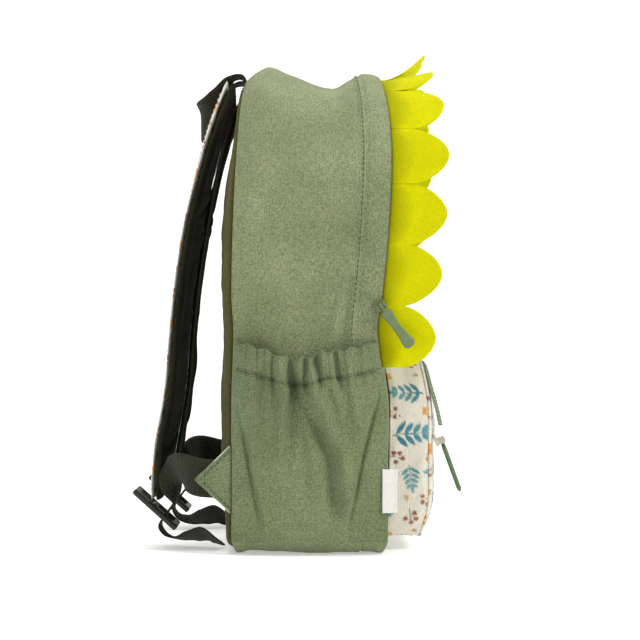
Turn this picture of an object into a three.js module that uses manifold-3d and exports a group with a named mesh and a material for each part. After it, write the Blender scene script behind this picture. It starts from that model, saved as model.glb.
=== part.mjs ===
// A small children's backpack: a canvas bag with a crest of felt spikes round its front arch.
// Millimetres, +Z up, front towards -Y, the wearer's left at -X, origin at the middle of the base.

import * as THREE from 'three';
import Module from 'manifold-3d';
import { mergeVertices } from 'three/addons/utils/BufferGeometryUtils.js';

const wasm = await Module();
wasm.setup();

// Bag
const BAG_WIDTH = 240;
const BAG_HEIGHT = 328;
const BAG_DEPTH = 102;
const ARCH_RADIUS = 80;
const BASE_RADIUS = 22;
const CANVAS = 2;
const GAP = 0.3;
const SEAM_CLEARANCE = 0.8;
const FRONT_DOME = 5;
const PAD_EDGE = 5.5;
const PAD_CROWN = 6;
const PAD_INSET = 5.5;

// Main zip and its pull
const ZIP_TAPE = 1.6;
const ZIP_WIDTH = 10.5;
const ZIP_REVEAL = 1.5;
const ZIP_END_HEIGHT = 150;
const PULL_LENGTH = 33;
const PULL_WIDTH = 8;
const PULL_THICKNESS = 3;
const PULL_HEIGHT = 163;
const PULL_LEAN = 37;
const POCKET_PULL_LENGTH = 36;
const POCKET_PULL_WIDTH = 10;
const POCKET_PULL_LEAN = 20;
const PIN_RADIUS = 0.9;
const PIN_CLEARANCE = 0.4;
const SLIDER_WIDTH = 7;

// Felt crest
const FELT = 3;
const SPIKE_REACH = 36;
const SPIKE_VALLEY = 14;
const SPIKE_PITCH = 40;
const CREST_FOOT = 123;
const STRIP_SPIKES = 3;

// Side pockets
const POCKET_MOUTH = 140;
const POCKET_BELLY = 13;
const PLEAT_STEP = 2.2;
const CASING_HEIGHT = 21;

// Front pocket
const PURSE_WIDTH = 192;
const PURSE_HEIGHT = 118;
const PURSE_LIFT = 8.5;
const PURSE_DEPTH = 26;
const PURSE_TOP_RADIUS = 44;
const PURSE_BASE_RADIUS = 24;
const PURSE_DOME = 5;
const FLAP_WIDTH = 9;
const FLAP_END_HEIGHT = 78;
const LABEL_HEIGHT = 28;
const LABEL_WIDTH = 10;
const LABEL_THICKNESS = 1;

// Shoulder straps, webbing and carrying loop
const STRAP_WIDTH = 48;
const COVER_THICKNESS = 3;
const LINING_THICKNESS = 5.5;
const WEBBING_WIDTH = 25;
const WEBBING_THICKNESS = 1.6;
const BUCKLE_LENGTH = 38;
const BUCKLE_WIDTH = 34;
const BUCKLE_THICKNESS = 4;
const BUCKLE_BAR = 4.5;
const TAB_LENGTH = 23;
const TAB_HEIGHT = 45;
const TAB_THICKNESS = 2.4;
const TAB_MIDDLE = 50;
const LOOP_WIDTH = 23;
const LOOP_THICKNESS = 2.4;

const half = BAG_DEPTH / 2;

// Depth sections of the gusset from its back seam to its front seam: the top sags between two ends.
const gussetSections = [
  { depth: 0, height: 0.972, width: 0.985 },
  { depth: 0.07, height: 0.99, width: 0.995 },
  { depth: 0.16, height: 1, width: 1 },
  { depth: 0.34, height: 0.984, width: 1.004 },
  { depth: 0.52, height: 0.963, width: 1.006 },
  { depth: 0.64, height: 0.958, width: 1.004 },
  { depth: 0.78, height: 0.976, width: 1 },
  { depth: 0.9, height: 0.99, width: 0.998 },
  { depth: 1, height: 0.979, width: 0.995 },
];

// Front and back seams seen from the side, as shares of half the depth.
const seamRows = [
  { height: 0, front: 0.93, back: 0.95 },
  { height: 0.03, front: 0.99, back: 1 },
  { height: 0.3, front: 0.99, back: 1 },
  { height: 0.4, front: 0.88, back: 0.98 },
  { height: 0.45, front: 0.85, back: 0.975 },
  { height: 0.52, front: 0.91, back: 1 },
  { height: 0.65, front: 0.99, back: 0.985 },
  { height: 0.8, front: 1.03, back: 0.94 },
  { height: 0.92, front: 0.98, back: 0.89 },
  { height: 1, front: 0.88, back: 0.82 },
];

// Soft dents of the bag's sides: place as shares of height and depth, reach and sink in millimetres.
const dentRows = [
  { height: 0.62, depth: 0.45, reach: 44, sink: 5 },
  { height: 0.83, depth: 0.62, reach: 30, sink: 3.5 },
  { height: 0.5, depth: 0.72, reach: 20, sink: 3 },
  { height: 0.74, depth: 0.2, reach: 34, sink: -2.5 },
  { height: 0.47, depth: 0.3, reach: 26, sink: -2 },
];

// Mouth of a side pocket from back to front: height as a share of its highest point.
const mouthRows = [
  { depth: 0, height: 1 },
  { depth: 0.23, height: 0.955 },
  { depth: 0.38, height: 0.92 },
  { depth: 0.52, height: 0.923 },
  { depth: 0.6, height: 0.946 },
  { depth: 0.75, height: 0.957 },
  { depth: 1, height: 0.993 },
];

// Gathers of the pocket's casing: place as a share of the depth, rise as a share of the belly.
const gatherRows = [
  { depth: 0.13, rise: 0.1, spread: 0.04 },
  { depth: 0.24, rise: -0.14, spread: 0.035 },
  { depth: 0.32, rise: 0.16, spread: 0.03 },
  { depth: 0.395, rise: -0.34, spread: 0.022 },
  { depth: 0.445, rise: 0.2, spread: 0.025 },
  { depth: 0.5, rise: -0.2, spread: 0.02 },
  { depth: 0.565, rise: -0.3, spread: 0.022 },
  { depth: 0.62, rise: 0.18, spread: 0.028 },
  { depth: 0.7, rise: -0.16, spread: 0.03 },
  { depth: 0.8, rise: 0.1, spread: 0.04 },
];

// Single felt spikes from the side of the arch to its top: reach and lift as shares of a spike's reach.
const spikeRows = [
  { reach: 1, lift: 0.03 },
  { reach: 0.98, lift: 0.08 },
  { reach: 0.93, lift: 0.2 },
  { reach: 0.86, lift: 0.55 },
];

// Shoulder strap from the top seam down, as places of its middle line; turn tips the inner face outwards.
const strapRows = [
  { x: 58, y: 54.5, z: 313, width: 0.9, turn: 0 },
  { x: 59, y: 64, z: 287, width: 0.98, turn: 1 },
  { x: 60, y: 72, z: 256, width: 1, turn: 4 },
  { x: 62, y: 80.5, z: 217, width: 1, turn: 8 },
  { x: 63, y: 86, z: 182, width: 1, turn: 8 },
  { x: 64, y: 90, z: 145, width: 0.98, turn: 8 },
  { x: 65, y: 93.5, z: 104, width: 0.92, turn: 9 },
  { x: 66, y: 99.5, z: 70, width: 0.84, turn: 11 },
  { x: 67, y: 102.5, z: 48, width: 0.78, turn: 8 },
  { x: 67, y: 104.5, z: 34, width: 0.72, turn: 2 },
];

// Webbing from the tab to the buckle and on as a limp tail; across is the direction of its width.
const webbingRows = [
  { x: 116.1, y: 59, z: 50, across: [0, 0, 1] },
  { x: 116, y: 72, z: 51, across: [0, 0, 1] },
  { x: 110, y: 82, z: 54, across: [0.15, 0.1, 1] },
  { x: 97, y: 87.5, z: 53, across: [0.5, 0.2, 0.8] },
  { x: 83, y: 89, z: 45, across: [0.85, 0.1, 0.45] },
  { x: 71, y: 90.5, z: 33.5, across: [1, 0, 0] },
  { x: 67, y: 97.5, z: 22.5, across: [1, 0, 0] },
  { x: 67, y: 101.5, z: 15.5, across: [1, 0, 0] },
  { x: 67, y: 97.5, z: 9, across: [1, 0, 0.05] },
  { x: 68.5, y: 89, z: 6.5, across: [1, 0, 0.15] },
  { x: 71, y: 80, z: 8, across: [0.95, 0.1, 0.35] },
  { x: 75, y: 70, z: 9.5, across: [0.9, 0.1, 0.45] },
  { x: 79, y: 61.5, z: 6, across: [0.95, 0.1, 0.25] },
];

// Carrying loop, one half from its seam to the middle, where it stands on edge.
const loopRows = [
  { x: 22, y: 44.5, z: 317.6, across: [1, 0, 0] },
  { x: 22, y: 47.5, z: 323, across: [1, 0, 0] },
  { x: 22.5, y: 55, z: 322, across: [1, 0.1, 0] },
  { x: 21, y: 63, z: 311, across: [0.85, 0.2, 0.5] },
  { x: 15, y: 70.5, z: 299, across: [0.4, 0.1, 0.9] },
  { x: 8, y: 75, z: 293, across: [0.1, 0.05, 1] },
  { x: 0, y: 76.5, z: 291, across: [0, 0, 1] },
];

const colours = {
  canvas: '#97a686',
  pocket: '#8a9c78',
  olive: '#55542f',
  dark: '#2a2a17',
  webbing: '#3a3a28',
  felt: '#dade05',
  print: '#efe8da',
  pull: '#80947b',
  pocketPull: '#5f7a55',
  metal: '#b9b6a8',
  label: '#f5f5f2',
  plastic: '#33341f',
};

const group = new THREE.Group();

function addMesh(name, geometry, colour, roughness = 0.9, metalness = 0) {
  const material = new THREE.MeshStandardMaterial({ color: colour, roughness, metalness });
  const mesh = new THREE.Mesh(geometry, material);
  mesh.name = name;
  group.add(mesh);
  return mesh;
}

// Smooth curve through a table: the value of column `want` where column `by` equals `at`.
function lookUp(rows, by, want, at) {
  const last = rows.length - 1;
  if (at <= rows[0][by]) return rows[0][want];
  if (at >= rows[last][by]) return rows[last][want];
  let i = 0;
  while (rows[i + 1][by] < at) i += 1;
  const slope = (a, b) => (rows[b][want] - rows[a][want]) / (rows[b][by] - rows[a][by]);
  const span = rows[i + 1][by] - rows[i][by];
  const here = slope(i, i + 1);
  const before = slope(Math.max(i - 1, 0), Math.max(i, 1));
  const after = slope(Math.min(i + 1, last - 1), Math.min(i + 2, last));
  const start = before * here > 0 ? (before + here) / 2 : 0;
  const end = after * here > 0 ? (after + here) / 2 : 0;
  const t = (at - rows[i][by]) / span;
  const rise = t * t * (3 - 2 * t);
  return rows[i][want] * (1 - rise) + rows[i + 1][want] * rise
    + span * t * (1 - t) * ((1 - t) * start - t * end);
}

const smooth = (low, high, at) => THREE.MathUtils.smoothstep(at, low, high);
const bell = (distance, reach) => Math.exp(-((distance / reach) ** 2));

// Geometry from points and triangles, turned so that its faces point outwards.
function closedGeometry(points, faces) {
  const cross = new THREE.Vector3();
  let volume = 0;
  for (const [a, b, c] of faces) {
    volume += points[a].dot(cross.crossVectors(points[b], points[c]));
  }
  const index = [];
  for (const [a, b, c] of faces) index.push(a, volume > 0 ? b : c, volume > 0 ? c : b);
  const geometry = new THREE.BufferGeometry();
  geometry.setAttribute('position', new THREE.Float32BufferAttribute(points.flatMap((p) => p.toArray()), 3));
  geometry.setIndex(index);
  geometry.computeVertexNormals();
  return geometry;
}

// A wall between two grids of points: outer(i, j) and inner(i, j), joined along their open edges.
function wall(columns, rows, outer, inner, closed = false) {
  const points = [];
  for (const face of [outer, inner]) {
    for (let j = 0; j <= rows; j += 1) {
      for (let i = 0; i < (closed ? columns : columns + 1); i += 1) points.push(face(i, j));
    }
  }
  const across = closed ? columns : columns + 1;
  const side = across * (rows + 1);
  const at = (s, i, j) => s * side + j * across + (i % across);
  const faces = [];
  const quad = (a, b, c, d) => faces.push([a, b, c], [a, c, d]);
  for (let i = 0; i < columns; i += 1) {
    for (let j = 0; j < rows; j += 1) {
      quad(at(0, i, j), at(0, i + 1, j), at(0, i + 1, j + 1), at(0, i, j + 1));
      quad(at(1, i, j), at(1, i, j + 1), at(1, i + 1, j + 1), at(1, i + 1, j));
    }
    quad(at(0, i, 0), at(1, i, 0), at(1, i + 1, 0), at(0, i + 1, 0));
    quad(at(0, i, rows), at(0, i + 1, rows), at(1, i + 1, rows), at(1, i, rows));
  }
  for (let j = 0; j < rows && !closed; j += 1) {
    quad(at(0, 0, j), at(0, 0, j + 1), at(1, 0, j + 1), at(1, 0, j));
    quad(at(0, columns, j), at(1, columns, j), at(1, columns, j + 1), at(0, columns, j + 1));
  }
  return closedGeometry(points, faces);
}

// A band carried along rows of places. section holds points as shares of half the width and of the thickness.
function ribbon(rows, section, width, thickness, steps, side = 1) {
  const path = new THREE.CatmullRomCurve3(rows.map((r) => new THREE.Vector3(r.x * side, r.y, r.z)));
  const points = [];
  for (let k = 0; k <= steps; k += 1) {
    const u = k / steps;
    const place = u * (rows.length - 1);
    const i = Math.min(Math.floor(place), rows.length - 2);
    const [a, b, t] = [rows[i], rows[i + 1], place - i];
    const tangent = path.getTangent(u);
    const across = new THREE.Vector3(...a.across).lerp(new THREE.Vector3(...b.across), t);
    across.x *= side;
    across.addScaledVector(tangent, -across.dot(tangent)).normalize();
    const normal = new THREE.Vector3().crossVectors(across, tangent).multiplyScalar(side);
    const share = THREE.MathUtils.lerp(a.width ?? 1, b.width ?? 1, t);
    for (const [w, h] of section) {
      points.push(path.getPoint(u)
        .addScaledVector(across, w * share * width / 2)
        .addScaledVector(normal, h * thickness));
    }
  }
  const n = section.length;
  const faces = [];
  for (let k = 0; k < steps; k += 1) {
    for (let i = 0; i < n; i += 1) {
      const [a, b] = [k * n + i, k * n + (i + 1) % n];
      faces.push([a, b, b + n], [a, b + n, a + n]);
    }
  }
  for (let i = 1; i < n - 1; i += 1) {
    faces.push([0, i + 1, i], [steps * n, steps * n + i, steps * n + i + 1]);
  }
  return closedGeometry(points, faces);
}

function toSolid(geometry) {
  const bare = geometry.clone();
  bare.deleteAttribute('normal');
  bare.deleteAttribute('uv');
  const merged = mergeVertices(bare);
  return new wasm.Manifold(new wasm.Mesh({
    numProp: 3,
    vertProperties: merged.attributes.position.array,
    triVerts: new Uint32Array(merged.index.array),
  }));
}

function toGeometry(solid) {
  const mesh = solid.getMesh();
  const geometry = new THREE.BufferGeometry();
  geometry.setAttribute('position', new THREE.Float32BufferAttribute(mesh.vertProperties, 3));
  geometry.setIndex([...mesh.triVerts]);
  geometry.computeVertexNormals();
  return geometry;
}

// Outlines seen from the front. A station runs 0 to 5 over half an outline: half of the base, its corner,
// the side, the arch's corner and half of the top, each one unit long.
const bagOutline = {
  halfWidth: BAG_WIDTH / 2, foot: 0, height: BAG_HEIGHT, low: BASE_RADIUS, high: ARCH_RADIUS,
};
const purseOutline = {
  halfWidth: PURSE_WIDTH / 2, foot: PURSE_LIFT, height: PURSE_HEIGHT,
  low: PURSE_BASE_RADIUS, high: PURSE_TOP_RADIUS,
};

function outline(shape, station, inset = 0) {
  const { halfWidth, foot, height, low, high } = shape;
  const piece = Math.min(Math.floor(station), 4);
  const t = station - piece;
  const turn = t * Math.PI / 2;
  const [sin, cos] = [Math.sin(turn), Math.cos(turn)];
  const [flat, arch] = [halfWidth - low, halfWidth - high];
  let p;
  if (piece === 0) p = [flat * t, 0, 0, -1];
  if (piece === 1) p = [flat + low * sin, low - low * cos, sin, -cos];
  if (piece === 2) p = [halfWidth, low + (height - low - high) * t, 1, 0];
  if (piece === 3) p = [arch + high * cos, height - high + high * sin, cos, sin];
  if (piece === 4) p = [arch * (1 - t), height, 0, 1];
  const [x, z, nx, nz] = p;
  return { x: x - nx * inset, z: foot + z - nz * inset, nx, nz };
}

// Station at a distance along the outline, measured up from where the side begins.
function stationAt(shape, distance) {
  const side = shape.height - shape.low - shape.high;
  const corner = shape.low * Math.PI / 2;
  const arch = shape.high * Math.PI / 2;
  if (distance < 0) return 2 + distance / corner;
  if (distance < side) return 2 + distance / side;
  if (distance < side + arch) return 3 + (distance - side) / arch;
  return Math.min(4 + (distance - side - arch) / (shape.halfWidth - shape.high), 5);
}

const stationAtHeight = (shape, z) => stationAt(shape, z - shape.foot - shape.low);

// Stations from one to another with a number of steps for each unit.
function stations(from, to, steps) {
  const list = [from];
  for (let piece = Math.floor(from); piece < to; piece += 1) {
    for (let k = 1; k <= steps[piece]; k += 1) {
      const at = piece + k / steps[piece];
      if (at > from + 0.02 && at < to - 0.02) list.push(at);
    }
  }
  return [...list, to];
}

// The same stations on both halves: up the right side and down the left one.
const bothHalves = (list) => [
  ...list.map((station) => ({ station, side: 1 })),
  ...list.slice(0, -1).reverse().map((station) => ({ station, side: -1 })),
];

const frontSeam = (z) => -half * lookUp(seamRows, 'height', 'front', z / BAG_HEIGHT);
const backSeam = (z) => half * lookUp(seamRows, 'height', 'back', z / BAG_HEIGHT);

function bagSection(depth) {
  const height = BAG_HEIGHT * lookUp(gussetSections, 'depth', 'height', depth);
  const halfWidth = BAG_WIDTH / 2 * lookUp(gussetSections, 'depth', 'width', depth);
  return { ...bagOutline, height, halfWidth };
}

// A point of the gusset's outer face, moved outwards by `out`.
function bagPoint(station, side, depth, out = 0) {
  const { x, z, nx, nz } = outline(bagSection(depth), station);
  const y = THREE.MathUtils.lerp(backSeam(z), frontSeam(z), depth);
  const free = 1 - smooth(0.6, 0.96, Math.abs(2 * depth - 1));
  let sink = 0;
  for (const dent of dentRows) {
    const away = bell(z - dent.height * BAG_HEIGHT, dent.reach)
      * bell((depth - dent.depth) * BAG_DEPTH, dent.reach);
    sink += dent.sink * away * nx * free;
  }
  return new THREE.Vector3(side * (x + nx * (out - sink)), y, z + nz * (out - sink));
}

// A point at the front seam, or behind or before it by `forward`.
function seamPoint(station, side, out, forward) {
  const point = bagPoint(station, side, 1 + Math.min(forward, 0) / BAG_DEPTH, out);
  point.y -= Math.max(forward, 0);
  return point;
}

const frontSection = bagSection(1);
const backSection = bagSection(0);

// A panel inside an outline: columns run across, rows from the base to the top.
// place(x, z, across, up) gives the depth of a point; across and up run -1 to 1 from edge to edge.
function panel(shape, columns, steps, insetAt, faces) {
  const rows = stations(1, 4, steps);
  const face = (which) => (i, j) => {
    const across = 2 * i / columns - 1;
    const edge = outline(shape, rows[j], insetAt(which, rows[j]));
    const up = 2 * (edge.z - shape.foot) / shape.height - 1;
    const x = across * edge.x;
    return new THREE.Vector3(x, faces[which](edge.z, across, up), edge.z);
  };
  return wall(columns, rows.length - 1, face(0), face(1));
}

const crown = (across, up) => (1 - across ** 4) * (1 - Math.min(Math.abs(up), 1) ** 4);

function halfWidthAt(shape, z) {
  const { halfWidth, foot, height, low, high } = shape;
  const rise = z - foot;
  if (rise < low) return halfWidth - low + Math.sqrt(Math.max(low ** 2 - (low - rise) ** 2, 0));
  const over = Math.max(rise - (height - high), 0);
  return halfWidth - high + Math.sqrt(Math.max(high ** 2 - over ** 2, 0));
}

// Gusset
const gussetSteps = [2, 4, 10, 8, 2];
const gussetLoop = bothHalves(stations(0, 5, gussetSteps)).slice(0, -1);
const gussetFace = (out) => (i, j) => {
  const { station, side } = gussetLoop[i];
  return bagPoint(station, side, gussetSections[j].depth, out);
};
addMesh('gusset', wall(gussetLoop.length, gussetSections.length - 1, gussetFace(0), gussetFace(-CANVAS), true),
  colours.canvas);

// Front panel: its edge lies inside the gusset, and behind the zip where there is one
const PANEL_RECESS = 1;
const zipInset = CANVAS + SEAM_CLEARANCE;
const feltInset = CANVAS + GAP;
const panelTuckFoot = stationAtHeight(frontSection, ZIP_END_HEIGHT - 50);
const panelTuckTop = stationAtHeight(frontSection, ZIP_END_HEIGHT - 22);
const panelInset = (which, station) => {
  const behindZip = smooth(panelTuckFoot, panelTuckTop, station);
  return zipInset + (ZIP_TAPE + GAP) * behindZip;
};
const panelFront = (z, across, up) => frontSeam(z) + PANEL_RECESS - FRONT_DOME * crown(across, up);
addMesh('front_panel', panel(frontSection, 8, [0, 4, 9, 7, 0], panelInset,
  [panelFront, (z, across, up) => panelFront(z, across, up) + CANVAS]), colours.canvas);

// Back panel: padded, thin at its top where the straps are sewn on
const padFlange = 3;
const padThickness = (z) => {
  const thin = smooth(0.68, 0.93, z / BAG_HEIGHT);
  return PAD_EDGE * (1 - 0.62 * thin);
};
const padFront = (z) => backSeam(z) + GAP;
const padBack = (z, across, up) => padFront(z) + padThickness(z) + PAD_CROWN * crown(across, up);
addMesh('back_panel', panel(backSection, 8, [0, 3, 7, 7, 0],
  (which) => (which === 0 ? padFlange : PAD_INSET), [padFront, padBack]), colours.olive);

// Main zip round the arch, under the gusset's free edge
const zipFoot = stationAtHeight(frontSection, ZIP_END_HEIGHT);
const zipLoop = bothHalves(stations(zipFoot, 5, gussetSteps));
const zipFace = (inset) => (i, j) => {
  const { station, side } = zipLoop[i];
  return seamPoint(station, side, -inset, ZIP_REVEAL - ZIP_WIDTH * (1 - j / 2));
};
const zipTape = wall(zipLoop.length - 1, 2, zipFace(zipInset), zipFace(zipInset + ZIP_TAPE));
addMesh('main_zip', zipTape, colours.pull, 0.6);

// Felt crest: scallops that stand forward from the seam
const SPIKE_COLUMNS = 10;
const SPIKE_ROWS = 3;
const feltForward = ZIP_REVEAL + GAP;
const scallop = (u) => (1 - Math.abs(u) ** 1.8) ** 0.72;

// Felt from the nth spike on, `count` spikes long; row gives its reach and lift.
function feltStrip(side, first, count, row) {
  const columns = SPIKE_COLUMNS * count;
  const face = (inset) => (i, j) => {
    const part = Math.min(Math.floor(i / SPIKE_COLUMNS), count - 1);
    const u = -Math.cos(Math.PI * (i / SPIKE_COLUMNS - part));
    const margin = i === 0 ? GAP / 2 : 0;
    const trim = i === columns ? -GAP / 2 : 0;
    const along = CREST_FOOT - BASE_RADIUS + SPIKE_PITCH * (first + part + (u + 1) / 2) + margin + trim;
    const reach = row.reach * SPIKE_REACH;
    const height = SPIKE_VALLEY + (reach - SPIKE_VALLEY) * scallop(u);
    const t = j / SPIKE_ROWS;
    const lift = row.lift * SPIKE_REACH * (t * height / reach) ** 2;
    return seamPoint(stationAt(frontSection, along), side, lift - inset, feltForward + t * height);
  };
  return wall(columns, SPIKE_ROWS, face(feltInset), face(feltInset + FELT));
}

for (const [side, name] of [[-1, 'left'], [1, 'right']]) {
  addMesh(`crest_strip_${name}`, feltStrip(side, 0, STRIP_SPIKES, { reach: 1, lift: 0 }), colours.felt);
  spikeRows.forEach((row, k) => {
    addMesh(`spike_${name}_${k + 1}`, feltStrip(side, STRIP_SPIKES + k, 1, row), colours.felt);
  });
}

// Side pockets: gathered at the mouth, with two pleats running down to the base
const POCKET_COLUMNS = 22;
const POCKET_TUCK = 12;
// Levels of the pocket's rows: below 0 it follows the base corner, at 1 is its mouth
const pocketLevels = [-1, -0.5, 0, 0.17, 0.34, 0.52, 0.7, 0.84, 0.92, 1];
const pleatRows = [
  { height: 0, back: 0.2, front: 0.74 },
  { height: 0.5, back: 0.09, front: 0.86 },
  { height: 0.9, back: 0, front: 1 },
];

function pocketPoint(side, depth, up, out) {
  const section = bagSection(depth);
  const mouth = POCKET_MOUTH * lookUp(mouthRows, 'depth', 'height', depth) - BASE_RADIUS;
  const along = up < 0 ? up * POCKET_TUCK : up * mouth;
  const round = Math.sin(Math.PI * depth) ** 0.65;
  let belly = round * smooth(-0.1, 0.4, up) * (0.5 + 0.5 * smooth(0.3, 1, up));
  const casing = smooth(1 - 1.9 * CASING_HEIGHT / POCKET_MOUTH, 1 - 0.9 * CASING_HEIGHT / POCKET_MOUTH, up);
  for (const fold of gatherRows) belly += fold.rise * bell(depth - fold.depth, fold.spread) * casing;
  const back = lookUp(pleatRows, 'height', 'back', up);
  const front = lookUp(pleatRows, 'height', 'front', up);
  const pleat = smooth(back - 0.02, back + 0.04, depth) * (1 - smooth(front - 0.04, front + 0.02, depth));
  const step = PLEAT_STEP * pleat * smooth(0, 0.05, depth) * (1 - smooth(0.95, 1, depth)) * (1 - casing);
  const stand = SEAM_CLEARANCE + Math.max(belly, 0) * POCKET_BELLY + step;
  return bagPoint(stationAt(section, along), side, depth, out + stand);
}

for (const [side, name] of [[-1, 'left'], [1, 'right']]) {
  const face = (out) => (i, j) => pocketPoint(side, i / POCKET_COLUMNS, pocketLevels[j], out);
  const pocket = wall(POCKET_COLUMNS, pocketLevels.length - 1, face(CANVAS), face(0));
  addMesh(`side_pocket_${name}`, pocket, colours.pocket);
}

// Front pocket: a band that stands on the front panel, and a domed face
const purseRows = [
  { height: 0, depth: 0.8 },
  { height: 0.25, depth: 1.03 },
  { height: 0.7, depth: 1.03 },
  { height: 1, depth: 0.86 },
];

function purseRoot(x, z) {
  const across = THREE.MathUtils.clamp(x / halfWidthAt(frontSection, z), -1, 1);
  return panelFront(z, across, 2 * z / frontSection.height - 1) - SEAM_CLEARANCE;
}

const purseShare = (z) => lookUp(purseRows, 'height', 'depth', (z - PURSE_LIFT) / PURSE_HEIGHT);
const purseRim = (z) => -half - PURSE_DEPTH * purseShare(z);
const purseLoop = bothHalves(stations(0, 5, [3, 3, 3, 5, 3])).slice(0, -1);
const PURSE_ROWS = 3;
const purseBand = (inset) => (i, j) => {
  const { station, side } = purseLoop[i];
  const { x, z } = outline(purseOutline, station, inset);
  const y = THREE.MathUtils.lerp(purseRoot(x, z), purseRim(z), j / PURSE_ROWS);
  return new THREE.Vector3(side * x, y, z);
};
const purseWall = wall(purseLoop.length, PURSE_ROWS, purseBand(0), purseBand(CANVAS), true);
addMesh('front_pocket', purseWall, colours.print);

const faceBack = (z, across, up) => purseRim(z) - GAP - PURSE_DOME * crown(across, up);
const faceFront = (z, across, up) => faceBack(z, across, up) - CANVAS;
const pursePanel = panel(purseOutline, 8, [0, 4, 4, 6, 0], () => 0, [faceFront, faceBack]);
addMesh('front_pocket_face', pursePanel, colours.print);

// Sage strip round the front edge of the pocket, its lower ends standing off
const FLAP_INSET = 1;
const FLAP_LIFT = 6;
const FLAP_FREE = 36;
const flapFoot = stationAtHeight(purseOutline, FLAP_END_HEIGHT + 6);
const flapLoop = bothHalves(stations(flapFoot, 5, [0, 0, 4, 8, 4]));
function flapPoint(entry, inset, out) {
  const { x, z } = outline(purseOutline, entry.station, inset);
  const across = x / halfWidthAt(purseOutline, Math.min(z, PURSE_LIFT + PURSE_HEIGHT - GAP));
  const up = 2 * (z - PURSE_LIFT) / PURSE_HEIGHT - 1;
  const free = Math.max(1 - (z - FLAP_END_HEIGHT) / FLAP_FREE, 0);
  const y = faceFront(z, Math.min(across, 1), up) - GAP - out - FLAP_LIFT * free ** 1.5;
  return new THREE.Vector3(entry.side * x, y, z);
}
const flapFace = (out) => (i, j) => flapPoint(flapLoop[i], FLAP_INSET + FLAP_WIDTH * (1 - j / 2), out);
addMesh('pocket_zip', wall(flapLoop.length - 1, 2, flapFace(ZIP_TAPE), flapFace(0)), colours.pull, 0.7);

// Woven label in the side seam
const LABEL_FOOT = 28.7;
const LABEL_TILT = 1.3;
const labelOut = SEAM_CLEARANCE + CANVAS + GAP;
const labelFace = (out) => (i, j) => {
  const station = stationAtHeight(frontSection, LABEL_FOOT + LABEL_HEIGHT * j / 4);
  return seamPoint(station, -1, labelOut + out + LABEL_TILT * (1 - i / 2), LABEL_WIDTH * (i / 2 - 0.35));
};
addMesh('side_label', wall(2, 4, labelFace(LABEL_THICKNESS), labelFace(0)), colours.label);

// Zip sliders and pulls, in a frame of their own: X along the pin, -Y down the pull, +Z away from the bag
const ringRadius = PIN_RADIUS + PIN_CLEARANCE + 1.2;
const ringWidth = 2.6;
const earInner = ringWidth / 2 + PIN_CLEARANCE;
const earOuter = SLIDER_WIDTH / 2;
const slabTop = -(ringRadius + PIN_CLEARANCE);
const slabThickness = 1.6;
const slabDepth = slabThickness - slabTop;

function boxAt(x0, x1, y0, y1, z0, z1) {
  const box = new THREE.BoxGeometry(x1 - x0, y1 - y0, z1 - z0);
  return toSolid(box.translate((x0 + x1) / 2, (y0 + y1) / 2, (z0 + z1) / 2));
}

function sliderGeometry() {
  const pin = new THREE.CylinderGeometry(PIN_RADIUS, PIN_RADIUS, 2 * earOuter - 0.2, 16).rotateZ(Math.PI / 2);
  const slab = boxAt(-earOuter, earOuter, -2.6, 5, slabTop - slabThickness, slabTop);
  const ears = [-1, 1].map((s) => boxAt(
    Math.min(s * earInner, s * earOuter), Math.max(s * earInner, s * earOuter), -2.2, 2.2, slabTop - 0.4, 2.2,
  ));
  return toGeometry(slab.add(ears[0]).add(ears[1]).add(toSolid(pin)));
}

function pullGeometry(length, width, thickness) {
  const waist = width * 0.34;
  const top = -(ringRadius + 1.6);
  const plate = new THREE.Shape();
  plate.moveTo(-width * 0.32, top);
  plate.quadraticCurveTo(-width * 0.5, top - 1, -width * 0.46, top - 3.5);
  plate.bezierCurveTo(-waist, -length * 0.4, -waist, -length * 0.6, -width / 2, -length + width * 0.3);
  plate.quadraticCurveTo(-width / 2, -length, -width * 0.25, -length);
  plate.lineTo(width * 0.25, -length);
  plate.quadraticCurveTo(width / 2, -length, width / 2, -length + width * 0.3);
  plate.bezierCurveTo(waist, -length * 0.6, waist, -length * 0.4, width * 0.46, top - 3.5);
  plate.quadraticCurveTo(width * 0.5, top - 1, width * 0.32, top);
  const body = new THREE.ExtrudeGeometry(plate, { depth: thickness, bevelEnabled: false, curveSegments: 4 });
  body.translate(0, 0, -thickness / 2);
  const neckDepth = thickness / 2 - 0.2;
  const neck = boxAt(-ringWidth / 2, ringWidth / 2, top - 1, -ringRadius + 0.5, -neckDepth, neckDepth);
  const ring = new THREE.Shape().absarc(0, 0, ringRadius, 0, 2 * Math.PI);
  ring.holes.push(new THREE.Path().absarc(0, 0, PIN_RADIUS + PIN_CLEARANCE, 0, 2 * Math.PI));
  const hoop = new THREE.ExtrudeGeometry(ring, { depth: ringWidth, bevelEnabled: false, curveSegments: 7 });
  hoop.translate(0, 0, -ringWidth / 2).rotateY(Math.PI / 2);
  return toGeometry(toSolid(body).add(neck).add(toSolid(hoop)));
}

// Places a slider and its pull with the pin at `pin`.
// The pull points along `down`, and `out` is away from the bag.
function addPull(name, pin, down, out, size, colour) {
  const up = down.clone().negate();
  const basis = new THREE.Matrix4().makeBasis(new THREE.Vector3().crossVectors(up, out), up, out);
  const slider = addMesh(`${name}_slider`, sliderGeometry(), colours.metal, 0.35, 0.8);
  const pull = addMesh(`${name}_pull`, pullGeometry(size.length, size.width, size.thickness), colour, 0.55);
  for (const mesh of [slider, pull]) {
    mesh.quaternion.setFromRotationMatrix(basis);
    mesh.position.copy(pin);
  }
}

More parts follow.
